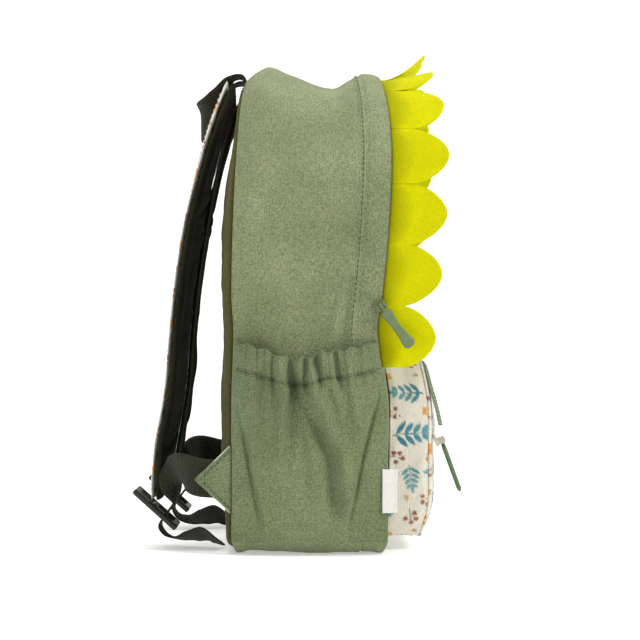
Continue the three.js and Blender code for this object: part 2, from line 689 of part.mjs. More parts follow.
const mainLean = THREE.MathUtils.degToRad(PULL_LEAN);
const sideAtPull = bagPoint(stationAtHeight(frontSection, PULL_HEIGHT), -1, 1);
addPull('main_zip', new THREE.Vector3(sideAtPull.x - GAP * 2 - slabDepth, sideAtPull.y - 1, PULL_HEIGHT),
  new THREE.Vector3(0, -Math.sin(mainLean), -Math.cos(mainLean)), new THREE.Vector3(-1, 0, 0),
  { length: PULL_LENGTH, width: PULL_WIDTH, thickness: PULL_THICKNESS }, colours.pull);

const pocketLean = THREE.MathUtils.degToRad(POCKET_PULL_LEAN);
const pocketPinHeight = FLAP_END_HEIGHT - 4;
const pocketPinX = -(PURSE_WIDTH / 2 - FLAP_INSET - FLAP_WIDTH / 2);
const pocketPinY = faceFront(pocketPinHeight, pocketPinX / (PURSE_WIDTH / 2), 0) - GAP
  - slabDepth * Math.cos(pocketLean) - 5 * Math.sin(pocketLean);
addPull('pocket_zip', new THREE.Vector3(pocketPinX, pocketPinY, pocketPinHeight),
  new THREE.Vector3(0, -Math.sin(pocketLean), -Math.cos(pocketLean)),
  new THREE.Vector3(0, -Math.cos(pocketLean), Math.sin(pocketLean)),
  { length: POCKET_PULL_LENGTH, width: POCKET_PULL_WIDTH, thickness: PULL_THICKNESS }, colours.pocketPull);

// Shoulder straps: a printed cover outside and a padded lining inside
const coverSection = [[-1, 0.18], [-0.92, 0.66], [-0.6, 1], [0.6, 1], [0.92, 0.66], [1, 0.18]];
const liningSection = [[1, -0.08], [0.93, -0.6], [0.6, -1], [-0.6, -1], [-0.93, -0.6], [-1, -0.08]];
const STRAP_STEPS = 24;
const WEBBING_STEPS = 39;
const LOOP_STEPS = 30;
const bandSection = [[-1, -0.5], [1, -0.5], [1, 0.5], [-1, 0.5]];
const strapPlaces = strapRows.map((row) => {
  const turn = THREE.MathUtils.degToRad(row.turn);
  return { ...row, across: [Math.cos(turn), Math.sin(turn), 0] };
});

// Buckle: a plate with two slots, tipped so that the webbing passes through the lower one
const BUCKLE_PLACE = { x: 67, y: 104, z: 27 };
const BUCKLE_TIP = 42;

function buckleGeometry() {
  const [w, l] = [BUCKLE_WIDTH / 2, BUCKLE_LENGTH / 2];
  const plate = new THREE.Shape([[-w, -l], [w, -l], [w, l], [-w, l]].map(([x, y]) => new THREE.Vector2(x, y)));
  const slotWidth = w - BUCKLE_BAR + 0.5;
  const lowTop = -l + BUCKLE_BAR + 14;
  for (const [y0, y1] of [[-l + BUCKLE_BAR, lowTop], [lowTop + BUCKLE_BAR, l - BUCKLE_BAR]]) {
    plate.holes.push(new THREE.Path([[-slotWidth, y0], [-slotWidth, y1], [slotWidth, y1], [slotWidth, y0]]
      .map(([x, y]) => new THREE.Vector2(x, y))));
  }
  const geometry = new THREE.ExtrudeGeometry(plate, { depth: BUCKLE_THICKNESS, bevelEnabled: false });
  return geometry.translate(0, 0, -BUCKLE_THICKNESS / 2);
}

const tabFoot = half + GAP + 0.3;
const tabX = BAG_WIDTH / 2 - TAB_THICKNESS;
function tabGeometry(side) {
  const tip = 3;
  const shape = new THREE.Shape();
  shape.moveTo(tabFoot, TAB_MIDDLE - TAB_HEIGHT / 2);
  shape.lineTo(tabFoot + TAB_LENGTH - tip, TAB_MIDDLE - tip);
  shape.quadraticCurveTo(tabFoot + TAB_LENGTH, TAB_MIDDLE, tabFoot + TAB_LENGTH - tip, TAB_MIDDLE + tip);
  shape.lineTo(tabFoot, TAB_MIDDLE + TAB_HEIGHT / 2);
  const settings = { depth: TAB_THICKNESS, bevelEnabled: false, curveSegments: 4 };
  const geometry = new THREE.ExtrudeGeometry(shape, settings);
  const turned = new THREE.Matrix4().makeBasis(
    new THREE.Vector3(0, 1, 0), new THREE.Vector3(0, 0, 1), new THREE.Vector3(1, 0, 0),
  );
  return geometry.applyMatrix4(turned).translate(side > 0 ? tabX : -tabX - TAB_THICKNESS, 0, 0);
}

for (const [side, name] of [[-1, 'left'], [1, 'right']]) {
  const cover = ribbon(strapPlaces, coverSection, STRAP_WIDTH, COVER_THICKNESS, STRAP_STEPS, side);
  addMesh(`strap_cover_${name}`, cover, colours.print);
  const lining = ribbon(strapPlaces, liningSection, STRAP_WIDTH, LINING_THICKNESS, STRAP_STEPS, side);
  addMesh(`strap_lining_${name}`, lining, colours.dark);
  const webbing = ribbon(webbingRows, bandSection, WEBBING_WIDTH, WEBBING_THICKNESS, WEBBING_STEPS, side);
  addMesh(`webbing_${name}`, webbing, colours.webbing);
  const buckle = addMesh(`adjuster_${name}`, buckleGeometry(), colours.plastic, 0.5);
  buckle.rotation.x = THREE.MathUtils.degToRad(BUCKLE_TIP);
  buckle.position.set(side * BUCKLE_PLACE.x, BUCKLE_PLACE.y, BUCKLE_PLACE.z);
  addMesh(`strap_tab_${name}`, tabGeometry(side), colours.pocket);
}

// Carrying loop: its second half is the first one turned round
const loopPlaces = [...loopRows, ...loopRows.slice(0, -1).reverse().map((row) => ({
  ...row, x: -row.x, across: [-row.across[0], row.across[1], row.across[2]],
}))];
const haulLoop = ribbon(loopPlaces, bandSection, LOOP_WIDTH, LOOP_THICKNESS, LOOP_STEPS);
addMesh('haul_loop', haulLoop, colours.webbing);

export default group;
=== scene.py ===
"""A small children's backpack in canvas, with a crest of felt spikes, dressed around its frame."""
import math

import bpy
import numpy as np
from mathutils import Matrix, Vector


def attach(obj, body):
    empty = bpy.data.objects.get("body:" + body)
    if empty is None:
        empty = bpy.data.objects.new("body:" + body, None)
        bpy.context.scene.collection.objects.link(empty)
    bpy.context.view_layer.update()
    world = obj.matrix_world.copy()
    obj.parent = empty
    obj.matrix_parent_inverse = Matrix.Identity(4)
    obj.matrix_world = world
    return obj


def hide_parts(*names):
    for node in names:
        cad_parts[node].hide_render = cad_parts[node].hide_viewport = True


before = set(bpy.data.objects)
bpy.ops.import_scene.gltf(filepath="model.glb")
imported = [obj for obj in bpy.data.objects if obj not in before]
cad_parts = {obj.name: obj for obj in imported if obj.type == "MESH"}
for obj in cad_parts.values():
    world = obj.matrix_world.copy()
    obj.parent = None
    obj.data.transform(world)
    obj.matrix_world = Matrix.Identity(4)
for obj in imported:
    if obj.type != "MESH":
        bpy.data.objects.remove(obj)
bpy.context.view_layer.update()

bl_info = {
    "name": "Crested backpack",
    "version": (1, 0, 0),
    "blender": (4, 5, 0),
    "location": "View3D > Sidebar > Backpack",
    "description": "Makes a small canvas backpack with a felt crest, piece by piece",
    "category": "Add Mesh",
}

MM = 0.001

# Sizes in millimetres, as the frame has them
CANVAS = 2.0
GAP = 0.3
SEAM_CLEARANCE = 0.8
ARCH_RADIUS = 80.0
BASE_RADIUS = 22.0
FRONT_DOME = 5.0
FRONT_TUCK = 1.0
PAD_EDGE = 5.5
PAD_CROWN = 6.0
PAD_FLANGE = 3.0
PAD_INSET = 5.5
# The pad thins towards its top, between two shares of the bag's height, by a share of its edge
PAD_THINS = (0.68, 0.93)
PAD_THINNED = 0.62
FELT = 3.0
SPIKE_REACH = 36.0
SPIKE_VALLEY = 14.0
SPIKE_PITCH = 40.0
CREST_FOOT = 123.0
FELT_FORWARD = 1.8
ZIP_END_HEIGHT = 150.0
ZIP_TAPE = 1.6
POCKET_MOUTH = 140.0
POCKET_BELLY = 13.0
POCKET_TUCK = 12.0
PLEAT_STEP = 2.2
CASING_HEIGHT = 21.0
# The purse is the front pocket
PURSE_HALF_WIDTH = 96.0
PURSE_FOOT = 8.5
PURSE_HEIGHT = 118.0
PURSE_LOW_CORNER = 24.0
PURSE_HIGH_CORNER = 44.0
PURSE_DEPTH = 26.0
PURSE_DOME = 5.0
STRAP_WIDTH = 48.0
COVER_THICKNESS = 3.0
LINING_THICKNESS = 5.5
WEBBING_WIDTH = 25.0
WEBBING_THICKNESS = 1.6
LOOP_WIDTH = 23.0
LOOP_THICKNESS = 2.4
BAND_COLUMNS = 13
CAMERA_LENS = 120.8


def linear(code):
    """An sRGB hex colour as linear light."""
    value = np.array([int(code[k:k + 2], 16) / 255 for k in (1, 3, 5)])
    return np.where(value <= 0.04045, value / 12.92, ((value + 0.055) / 1.055) ** 2.4)


# The usual colour of each cloth and moulding
USUAL = {
    "canvas": "#9ba67c",
    "pocket_canvas": "#87966d",
    "print_ground": "#efe8da",
    "felt": "#d0cd00",
    "pad_cloth": "#535026",
    "strap_lining": "#1f200f",
    "webbing": "#1f2012",
    "zip_tape": "#77896b",
    "pull_rubber": "#6a7b54",
    "hardware": "#1c1d11",
    "thread": "#414e36",
}


def colour_choice(key, name, description):
    """A colour that the user can change, in linear light; its default is the usual one."""
    usual = tuple(linear(USUAL[key]))
    return bpy.props.FloatVectorProperty(
        name=name, description=description, default=usual, subtype="COLOR", size=3, min=0, max=1)


def length_choice(name, description, metres):
    """A length that the user can change."""
    return bpy.props.FloatProperty(name=name, description=description, default=metres, unit="LENGTH")


class BackpackColours(bpy.types.PropertyGroup):
    canvas: colour_choice("canvas", "Canvas", "Body of the bag")
    pocket_canvas: colour_choice("pocket_canvas", "Pocket canvas", "Side pockets")
    print_ground: colour_choice("print_ground", "Print ground", "Cotton under the printed motifs")
    felt: colour_choice("felt", "Felt", "Spikes of the crest")
    pad_cloth: colour_choice("pad_cloth", "Pad cloth", "Padded back panel")
    strap_lining: colour_choice("strap_lining", "Strap lining", "Underside of the shoulder straps")
    webbing: colour_choice("webbing", "Webbing", "Haul loop and lower strap bands")
    zip_tape: colour_choice("zip_tape", "Zip tape", "Tape and teeth of both zips")
    pull_rubber: colour_choice("pull_rubber", "Pull rubber", "Zip pulls")
    hardware: colour_choice("hardware", "Plastic hardware", "Strap buckles")
    thread: colour_choice("thread", "Thread", "Topstitching")


class BackpackSizes(bpy.types.PropertyGroup):
    width: length_choice("Width", "Width of the bag across its sides", 0.240)
    height: length_choice("Height", "Height of the canvas body", 0.328)
    depth: length_choice("Depth", "Depth between the front and back seams", 0.102)
    thread: length_choice("Thread spacing", "Coarser than the real 0.5 mm, so that the weave shows", 0.0013823)
    stitch: length_choice("Stitch length", "Length of one topstitch", 0.003)
    view_distance: length_choice("Camera distance", "From the camera to the near side of the bag", 1.4)


# Depth sections of the gusset, from the back seam to the front seam
GUSSET_SECTIONS = {
    "depth": (0, 0.07, 0.16, 0.34, 0.52, 0.64, 0.78, 0.9, 1),
    "height": (0.972, 0.99, 1, 0.984, 0.963, 0.958, 0.976, 0.99, 0.979),
    "width": (0.985, 0.995, 1, 1.004, 1.006, 1.004, 1, 0.998, 0.995),
}
# Front and back seams from the side, as shares of half the depth
SEAMS = {
    "height": (0, 0.03, 0.3, 0.4, 0.45, 0.52, 0.65, 0.8, 0.92, 1),
    "front": (0.93, 0.99, 0.99, 0.88, 0.85, 0.91, 0.99, 1.03, 0.98, 0.88),
    "back": (0.95, 1, 1, 0.98, 0.975, 1, 0.985, 0.94, 0.89, 0.82),
}
# Soft dents of the sides: place in shares, reach and sink in millimetres
DENTS = (
    dict(height=0.62, depth=0.45, reach=44, sink=5),
    dict(height=0.83, depth=0.62, reach=30, sink=3.5),
    dict(height=0.5, depth=0.72, reach=20, sink=3),
    dict(height=0.74, depth=0.2, reach=34, sink=-2.5),
    dict(height=0.47, depth=0.3, reach=26, sink=-2),
)
# Height of a side pocket's mouth from back to front, as shares of POCKET_MOUTH
MOUTH = {
    "depth": (0, 0.23, 0.38, 0.52, 0.6, 0.75, 1),
    "height": (1, 0.955, 0.92, 0.923, 0.946, 0.957, 0.993),
}
# The two pleats of a side pocket, as shares of the bag's depth at shares of the pocket's height
PLEATS = {"height": (0, 0.5, 0.9), "back": (0.2, 0.09, 0), "front": (0.74, 0.86, 1)}
# How far forward the front pocket's rim stands, as shares of PURSE_DEPTH
PURSE_RIM = {"height": (0, 0.25, 0.7, 1), "depth": (0.8, 1.03, 1.03, 0.86)}


def look_up(rows, by, want, at):
    """Smooth curve through a table: a cubic between two rows, with the mean of the slopes beside each row."""
    x = np.asarray(rows[by], float)
    y = np.asarray(rows[want], float)
    at = np.clip(np.asarray(at, float), x[0], x[-1])
    last = len(x) - 1
    i = np.clip(np.searchsorted(x, at, side="left") - 1, 0, last - 1)
    slope = np.diff(y) / np.diff(x)
    here, before, after = slope[i], slope[np.maximum(i - 1, 0)], slope[np.minimum(i + 1, last - 1)]
    start = np.where(before * here > 0, (before + here) / 2, 0)
    end = np.where(after * here > 0, (after + here) / 2, 0)
    span = x[i + 1] - x[i]
    t = (at - x[i]) / span
    rise = t * t * (3 - 2 * t)
    return y[i] * (1 - rise) + y[i + 1] * rise + span * t * (1 - t) * ((1 - t) * start - t * end)


def smooth(low, high, at):
    """0 below low, 1 above high, and an S curve between."""
    t = np.clip((np.asarray(at, float) - low) / (high - low), 0, 1)
    return t * t * (3 - 2 * t)


def bell(distance, reach):
    """1 at no distance, falling like a bell curve to a third at reach."""
    return np.exp(-(np.asarray(distance, float) / reach) ** 2)


def ripple(points, wavelength, seed, waves=9):
    """Smooth noise from -1 to 1: a sum of sine waves in fixed random directions, about a wavelength long."""
    rng = np.random.default_rng(seed)
    total = np.zeros(points.shape[:-1])
    for _ in range(waves):
        direction = rng.normal(size=3)
        direction /= np.linalg.norm(direction)
        length = wavelength * rng.uniform(0.7, 1.6)
        total += np.sin(points @ direction * (2 * math.pi / length) + rng.uniform(0, 2 * math.pi))
    return total / math.sqrt(waves)


class Outline:
    """Rounded outline seen from the front, whose upper corners are an arch's. Sizes may be arrays."""

    def __init__(self, half_width, foot, height, low, high):
        self.half_width, self.foot, self.height, self.low, self.high = half_width, foot, height, low, high

    def at(self, station, inset=0.0):
        """Point and normal at a station from 0 to 5: a unit each for the base, corner, side, arch and top."""
        station, half_width, height = np.broadcast_arrays(station, self.half_width, self.height)
        piece = np.clip(np.floor(station), 0, 4)
        t = station - piece
        sin, cos = np.sin(t * math.pi / 2), np.cos(t * math.pi / 2)
        flat, arch = half_width - self.low, half_width - self.high
        zero, one = np.zeros_like(t), np.ones_like(t)
        pick = [piece == k for k in range(5)]
        x = np.select(pick, [
            flat * t, flat + self.low * sin, half_width, arch + self.high * cos, arch * (1 - t)])
        z = np.select(pick, [
            zero, self.low - self.low * cos, self.low + (height - self.low - self.high) * t,
            height - self.high + self.high * sin, height])
        nx = np.select(pick, [zero, sin, one, cos, zero])
        nz = np.select(pick, [-one, -cos, zero, sin, one])
        return x - nx * inset, self.foot + z - nz * inset, nx, nz

    def station(self, distance):
        """Station at a distance along the outline, measured up from where the side begins."""
        side = self.height - self.low - self.high
        corner, arch = self.low * math.pi / 2, self.high * math.pi / 2
        return np.select(
            [distance < 0, distance < side, distance < side + arch],
            [2 + distance / corner, 2 + distance / side, 3 + (distance - side) / arch],
            np.minimum(4 + (distance - side - arch) / (self.half_width - self.high), 5))

    def station_at_height(self, z):
        """Station of the point of the side at a height."""
        return self.station(np.asarray(z - self.foot - self.low, float))

    def half_width_at(self, z):
        """Half of the outline's width at a height: the side's, less what its rounded corners take."""
        rise = np.asarray(z, float) - self.foot
        low = self.half_width - self.low + np.sqrt(np.maximum(self.low ** 2 - (self.low - rise) ** 2, 0))
        over = np.maximum(rise - (self.height - self.high), 0)
        high = self.half_width - self.high + np.sqrt(np.maximum(self.high ** 2 - over ** 2, 0))
        return np.where(rise < self.low, low, high)


class Bag:
    """The bag's main form, as functions of a station round it and a share of its depth."""

    def __init__(self, sizes):
        self.width, self.height, self.depth = (v / MM for v in (sizes.width, sizes.height, sizes.depth))
        self.front, self.back = self.section(1.0), self.section(0.0)
        self.purse = Outline(PURSE_HALF_WIDTH, PURSE_FOOT, PURSE_HEIGHT, PURSE_LOW_CORNER, PURSE_HIGH_CORNER)

    def section(self, depth):
        """The outline at a share of the depth, from the back seam at 0 to the front seam at 1."""
        height = self.height * look_up(GUSSET_SECTIONS, "depth", "height", depth)
        half_width = self.width / 2 * look_up(GUSSET_SECTIONS, "depth", "width", depth)
        return Outline(half_width, 0.0, height, BASE_RADIUS, ARCH_RADIUS)

    def front_seam(self, z):
        return -self.depth / 2 * look_up(SEAMS, "height", "front", z / self.height)

    def back_seam(self, z):
        return self.depth / 2 * look_up(SEAMS, "height", "back", z / self.height)

    def point(self, station, side, depth, out=0.0):
        """Outline at the station, between the seams, sunk by bell-shaped dents and moved outwards by out."""
        station, side, depth = np.broadcast_arrays(station, side, depth)
        x, z, nx, nz = self.section(depth).at(station)
        y = self.back_seam(z) * (1 - depth) + self.front_seam(z) * depth
        free = 1 - smooth(0.6, 0.96, np.abs(2 * depth - 1))
        sink = np.zeros_like(x)
        for dent in DENTS:
            away = bell(z - dent["height"] * self.height, dent["reach"])
            away = away * bell((depth - dent["depth"]) * self.depth, dent["reach"])
            sink += dent["sink"] * away * nx * free
        out = out - sink
        return np.stack([side * (x + nx * out), y, z + nz * out], axis=-1)

    def seam_point(self, station, side, out, forward):
        """A point at the front seam, or before it by forward."""
        point = self.point(station, side, 1 + np.minimum(forward, 0) / self.depth, out)
        point[..., 1] -= np.maximum(forward, 0)
        return point

    def panel_front(self, z, across, up):
        return self.front_seam(z) + FRONT_TUCK - FRONT_DOME * crown(across, up)

    def pad_front(self, z):
        return self.back_seam(z) + GAP

    def pad_back(self, z, across, up):
        thin = smooth(*PAD_THINS, z / self.height)
        return self.pad_front(z) + PAD_EDGE * (1 - PAD_THINNED * thin) + PAD_CROWN * crown(across, up)

    def purse_root(self, x, z):
        """Where the front pocket's band starts, just before the front panel."""
        across = np.clip(x / self.front.half_width_at(z), -1, 1)
        return self.panel_front(z, across, 2 * z / self.front.height - 1) - SEAM_CLEARANCE

    def purse_rim(self, z):
        share = (z - self.purse.foot) / self.purse.height
        return -self.depth / 2 - PURSE_DEPTH * look_up(PURSE_RIM, "height", "depth", share)

    def purse_face(self, z, across, up):
        return self.purse_rim(z) - GAP - PURSE_DOME * crown(across, up) - CANVAS


def crown(across, up):
    """1 in the middle and 0 at the edges of a panel: one less a fourth power, both ways."""
    return (1 - np.abs(across) ** 4) * (1 - np.minimum(np.abs(up), 1) ** 4)


# Meshes

def grid_faces(rows, columns, closed=False):
    """Quads of a grid of points by its rows and columns; closed joins the last column to the first."""
    row = np.arange(rows - 1)[:, None]
    column = np.arange(columns if closed else columns - 1)[None, :]
    after = (column + 1) % columns
    quads = np.stack([row * columns + column, row * columns + after,
                      (row + 1) * columns + after, (row + 1) * columns + column], axis=-1)
    return quads.reshape(-1, 4)


def new_piece(name, points, faces, material, uv=None, colour=None, body="root", replaces=()):
    """Makes a mesh from points in millimetres and quads, faces outwards, and puts it in the frame."""
    points = np.asarray(points, float).reshape(-1, 3) * MM
    corners = points[faces]
    volume = np.einsum("ij,ij->", corners[:, 0], np.cross(corners[:, 1], corners[:, 2])
                       + np.cross(corners[:, 2], corners[:, 3]))
    if volume < 0:
        faces = faces[:, ::-1]
    name = name.replace(" ", "_")
    mesh = bpy.data.meshes.new(name)
    mesh.vertices.add(len(points))
    mesh.vertices.foreach_set("co", points.ravel())
    mesh.loops.add(faces.size)
    mesh.loops.foreach_set("vertex_index", faces.ravel().astype(np.int32))
    mesh.polygons.add(len(faces))
    mesh.polygons.foreach_set("loop_start", np.arange(0, faces.size, 4, dtype=np.int32))
    mesh.polygons.foreach_set("use_smooth", np.ones(len(faces), bool))
    if uv is not None:
        layer = mesh.uv_layers.new(name="Cloth")
        layer.data.foreach_set("uv", (np.asarray(uv, float).reshape(-1, 2) * MM)[faces.ravel()].ravel())
    if colour is not None:
        layer = mesh.color_attributes.new(name="Print", type="FLOAT_COLOR", domain="POINT")
        opaque = np.ones((len(points), 4))
        opaque[:, :3] = np.asarray(colour).reshape(-1, 3)
        layer.data.foreach_set("color", opaque.ravel())
    mesh.update(calc_edges=True)
    mesh.validate()
    mesh.materials.append(material)
    piece = bpy.data.objects.new(name, mesh)
    bpy.context.scene.collection.objects.link(piece)
    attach(piece, body)
    if replaces:
        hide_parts(*replaces)
    return piece


def cloth_wall(name, outer, inner, material, closed=False, uv=None, colour=None, bulge=0.5, **place):
    """A wall between two grids, its rims rounded.

    Each column is a closed loop: up the outer face, over a rim of two points, down the inner face and round
    the lower rim. A rim point stands out from the edge by bulge times half the wall, in line with the face.
    """
    half = (outer - inner) / 2
    thick = np.linalg.norm(half, axis=-1, keepdims=True)

    def rim(edge, before):
        """Two points that round the wall's edge, 0.6 of the half wall off its middle."""
        way = outer[edge] - outer[before]
        way = way / np.maximum(np.linalg.norm(way, axis=-1, keepdims=True), 1e-9) * thick[edge] * bulge
        middle = (outer[edge] + inner[edge]) / 2
        return middle + half[edge] * 0.6 + way, middle - half[edge] * 0.6 + way

    top, low = rim(-1, -2), rim(0, 1)
    loop = np.concatenate([outer, top[0][None], top[1][None], inner[::-1], low[1][None], low[0][None]])
    count, columns = loop.shape[:2]
    faces = [grid_faces(count, columns, closed)]
    across = np.arange(columns if closed else columns - 1)
    after = (across + 1) % columns
    last = (count - 1) * columns
    faces.append(np.stack([last + across, last + after, after, across], axis=-1))
    if not closed:
        levels = count // 2 - 1
        k = np.arange(levels - 1)
        mirror = count - 3 - k
        rungs = np.stack([k, mirror, mirror - 1, k + 1], axis=-1)
        rungs = np.concatenate([rungs, [[0, count - 1, count - 2, count - 3]]])
        for column, flip in ((0, True), (columns - 1, False)):
            ladder = rungs * columns + column
            faces.append(ladder[:, ::-1] if flip else ladder)
    repeat = {}
    for key, value in (("uv", uv), ("colour", colour)):
        if value is not None:
            repeat[key] = np.concatenate([value, value[-1:], value[-1:], value[::-1], value[:1], value[:1]])
    return new_piece(name, loop, np.concatenate(faces), material, **repeat, **place)


def ribbon_frame(rows, steps, side=1):
    """Middle line, width and face directions of a band: a centripetal curve through its rows of places.

    Also the share of the full width at each point, and its distance along the line. side mirrors the band.
    """
    place = np.array([[r["x"] * side, r["y"], r["z"]] for r in rows], float)
    across = np.array([r["across"] for r in rows], float) * [side, 1, 1]
    share = np.array([r.get("width", 1) for r in rows], float)
    padded = np.concatenate([[2 * place[0] - place[1]], place, [2 * place[-1] - place[-2]]])
    u = np.linspace(0, len(rows) - 1, steps)
    i = np.minimum(u.astype(int), len(rows) - 2)
    t = (u - i)[:, None]
    a, b, c, d = (padded[i + k] for k in range(4))
    first, second, third = (np.maximum(np.sqrt(np.linalg.norm(q - p, axis=1)), 1e-4)[:, None]
                            for p, q in ((a, b), (b, c), (c, d)))
    leave = ((b - a) / first - (c - a) / (first + second) + (c - b) / second) * second
    arrive = ((c - b) / second - (d - b) / (second + third) + (d - c) / third) * second
    line = (b * (1 - 3 * t ** 2 + 2 * t ** 3) + c * (3 * t ** 2 - 2 * t ** 3)
            + leave * (t - 2 * t ** 2 + t ** 3) + arrive * (t ** 3 - t ** 2))
    tangent = np.gradient(line, axis=0)
    tangent /= np.linalg.norm(tangent, axis=1, keepdims=True)
    wide = across[i] * (1 - t) + across[i + 1] * t
    wide -= tangent * np.sum(wide * tangent, axis=1, keepdims=True)
    wide /= np.linalg.norm(wide, axis=1, keepdims=True)
    normal = np.cross(wide, tangent) * side
    length = np.concatenate([[0], np.cumsum(np.linalg.norm(np.diff(line, axis=0), axis=1))])
    return line, wide, normal, share[i] * (1 - t[:, 0]) + share[i + 1] * t[:, 0], length


def band(name, rows, width, thickness, material, steps, side=1, **place):
    """A flat woven band: half of its width on both sides of the middle line, thinner towards its edges."""
    line, wide, normal, share, length = ribbon_frame(rows, steps, side)
    w = np.linspace(-1, 1, BAND_COLUMNS)[None, :, None]
    middle = line[:, None] + wide[:, None] * w * (share * width / 2)[:, None, None]
    lift = normal[:, None] * thickness / 2 * (1 - 0.35 * np.abs(w) ** 8)
    uv = np.stack(np.broadcast_arrays(length[:, None], (w * width / 2)[..., 0]), axis=-1)
    return cloth_wall(name, middle + lift, middle - lift, material, uv=uv, **place)


THREAD_RADIUS = 0.42
# A stitch's spindle from end to end, as shares of the stitch's length and of the thread's radius
SPINDLE_AT = (-0.40, -0.288, 0.0, 0.288, 0.40)
SPINDLE_FAT = (0.15, 0.8, 1.0, 0.8, 0.15)


def stitches(name, points, normals, tangents, material, length, **place):
    """A row of thread stitches: each a slim six-sided spindle, half sunk, on a point of the seam."""
    angle = np.arange(6) * math.pi / 3
    along = np.array(SPINDLE_AT) * length
    fat = np.array(SPINDLE_FAT) * THREAD_RADIUS
    binormal = np.cross(normals, tangents)
    ring = (normals[:, None, None] * np.cos(angle)[None, None, :, None]
            + binormal[:, None, None] * np.sin(angle)[None, None, :, None]) * fat[None, :, None, None]
    spindle = points[:, None, None] + tangents[:, None, None] * along[None, :, None, None] + ring
    rings, around = len(along), len(angle)
    faces = np.concatenate([grid_faces(rings, around, closed=True),
                            [[3, 2, 1, 0], [5, 4, 3, 0], [24, 25, 26, 27], [24, 27, 28, 29]]])
    starts = np.arange(len(points)) * rings * around
    return new_piece(name, spindle, (faces[None] + starts[:, None, None]).reshape(-1, 4), material, **place)


def along_curve(curve, spacing):
    """Points and directions at an even spacing along a dense line of points."""
    step = np.linalg.norm(np.diff(curve, axis=0), axis=1)
    length = np.concatenate([[0], np.cumsum(step)])
    at = np.arange(spacing / 2, length[-1], spacing)
    points = np.stack([np.interp(at, length, curve[:, k]) for k in range(3)], axis=-1)
    ahead = np.stack([np.interp(at + 0.5, length, curve[:, k]) for k in range(3)], axis=-1)
    behind = np.stack([np.interp(at - 0.5, length, curve[:, k]) for k in range(3)], axis=-1)
    way = ahead - behind
    return points, way / np.linalg.norm(way, axis=1, keepdims=True)


# Materials

# A wave texture of scale 1 repeats after this many metres of its UV
WAVE_PERIOD = 2 * math.pi / 20


def rgba(colour):
    """A colour with full opacity: a hex code, or three numbers that are linear already."""
    return (*(linear(colour) if isinstance(colour, str) else colour), 1.0)


def add_node(tree, kind, settings=None, **links):
    """Adds a node; settings are its own values, links its inputs: numbers, colours or other sockets."""
    node = tree.nodes.new(kind)
    for key, value in (settings or {}).items():
        setattr(node, key, value)
    for key, value in links.items():
        name = key.replace("_", " ")
        socket = node.inputs[int(name[1:])] if name[0] == "i" and name[1:].isdigit() else node.inputs[name]
        if isinstance(value, bpy.types.NodeSocket):
            tree.links.new(value, socket)
        else:
            socket.default_value = value
    return node


def start_material(name, plain_colour, roughness, **shader):
    """A material with the given shader settings, and its colour for where nodes aren't drawn."""
    material = bpy.data.materials.new(name)
    material.use_nodes = True
    tree = material.node_tree
    tree.nodes.clear()
    bsdf = add_node(tree, "ShaderNodeBsdfPrincipled")
    bsdf.inputs["Roughness"].default_value = roughness
    for key, value in shader.items():
        bsdf.inputs[key.replace("_", " ")].default_value = value
    output = add_node(tree, "ShaderNodeOutputMaterial")
    tree.links.new(bsdf.outputs["BSDF"], output.inputs["Surface"])
    material.diffuse_color = rgba(plain_colour)
    return material, tree, bsdf


def waves(tree, direction, period, **settings):
    """Waves of a period in metres along one direction of the piece's own UV."""
    uv = add_node(tree, "ShaderNodeUVMap", {"uv_map": "Cloth"}).outputs["UV"]
    return add_node(tree, "ShaderNodeTexWave", {"bands_direction": direction}, Vector=uv,
                    Scale=WAVE_PERIOD / period, **settings).outputs["Fac"]


def weave_height(tree, spacing):
    """Threads that cross: the higher of two slightly wavering sets of waves."""
    warp, weft = (waves(tree, direction, spacing, Distortion=1.2, Detail=1.0, Detail_Scale=3.0)
                  for direction in ("X", "Y"))
    return add_node(tree, "ShaderNodeMath", {"operation": "MAXIMUM"}, i0=warp, i1=weft).outputs["Value"]


def speckle(tree, size, detail=2.0, roughness=0.5):
    """Noise on Object coordinates whose grains are about size metres across."""
    place = add_node(tree, "ShaderNodeTexCoord")
    return add_node(tree, "ShaderNodeTexNoise", Vector=place.outputs["Object"], Scale=0.6 / size,
                    Detail=detail, Roughness=roughness).outputs["Fac"]


def colour_between(tree, factor, low, high, dark, light):
    """A colour that goes from dark to light as factor goes from low to high."""
    ramp = add_node(tree, "ShaderNodeValToRGB", Fac=factor)
    ramp.color_ramp.elements[0].position, ramp.color_ramp.elements[1].position = low, high
    ramp.color_ramp.elements[0].color, ramp.color_ramp.elements[1].color = rgba(dark), rgba(light)
    return ramp.outputs["Color"]


def mixed(tree, kind, amount, first, second):
    """Two colours blended in the way that kind names, by an amount that is a number or a socket."""
    node = add_node(tree, "ShaderNodeMix", {"data_type": "RGBA", "blend_type": kind})
    for socket, value in ((node.inputs[0], amount), (node.inputs[6], first), (node.inputs[7], second)):
        if isinstance(value, bpy.types.NodeSocket):
            tree.links.new(value, socket)
        else:
            socket.default_value = value
    return node.outputs[2]


def raise_surface(tree, bsdf, heights, distance):
    """Bump from heights, each a socket and its share, summed one after another."""
    total = None
    for socket, share in heights:
        part = add_node(tree, "ShaderNodeMath", {"operation": "MULTIPLY"}, i0=socket, i1=share)
        part = part.outputs["Value"]
        total = part if total is None else add_node(
            tree, "ShaderNodeMath", {"operation": "ADD"}, i0=total, i1=part).outputs["Value"]
    bump = add_node(tree, "ShaderNodeBump", Strength=0.8, Distance=distance, Height=total)
    tree.links.new(bump.outputs["Normal"], bsdf.inputs["Normal"])


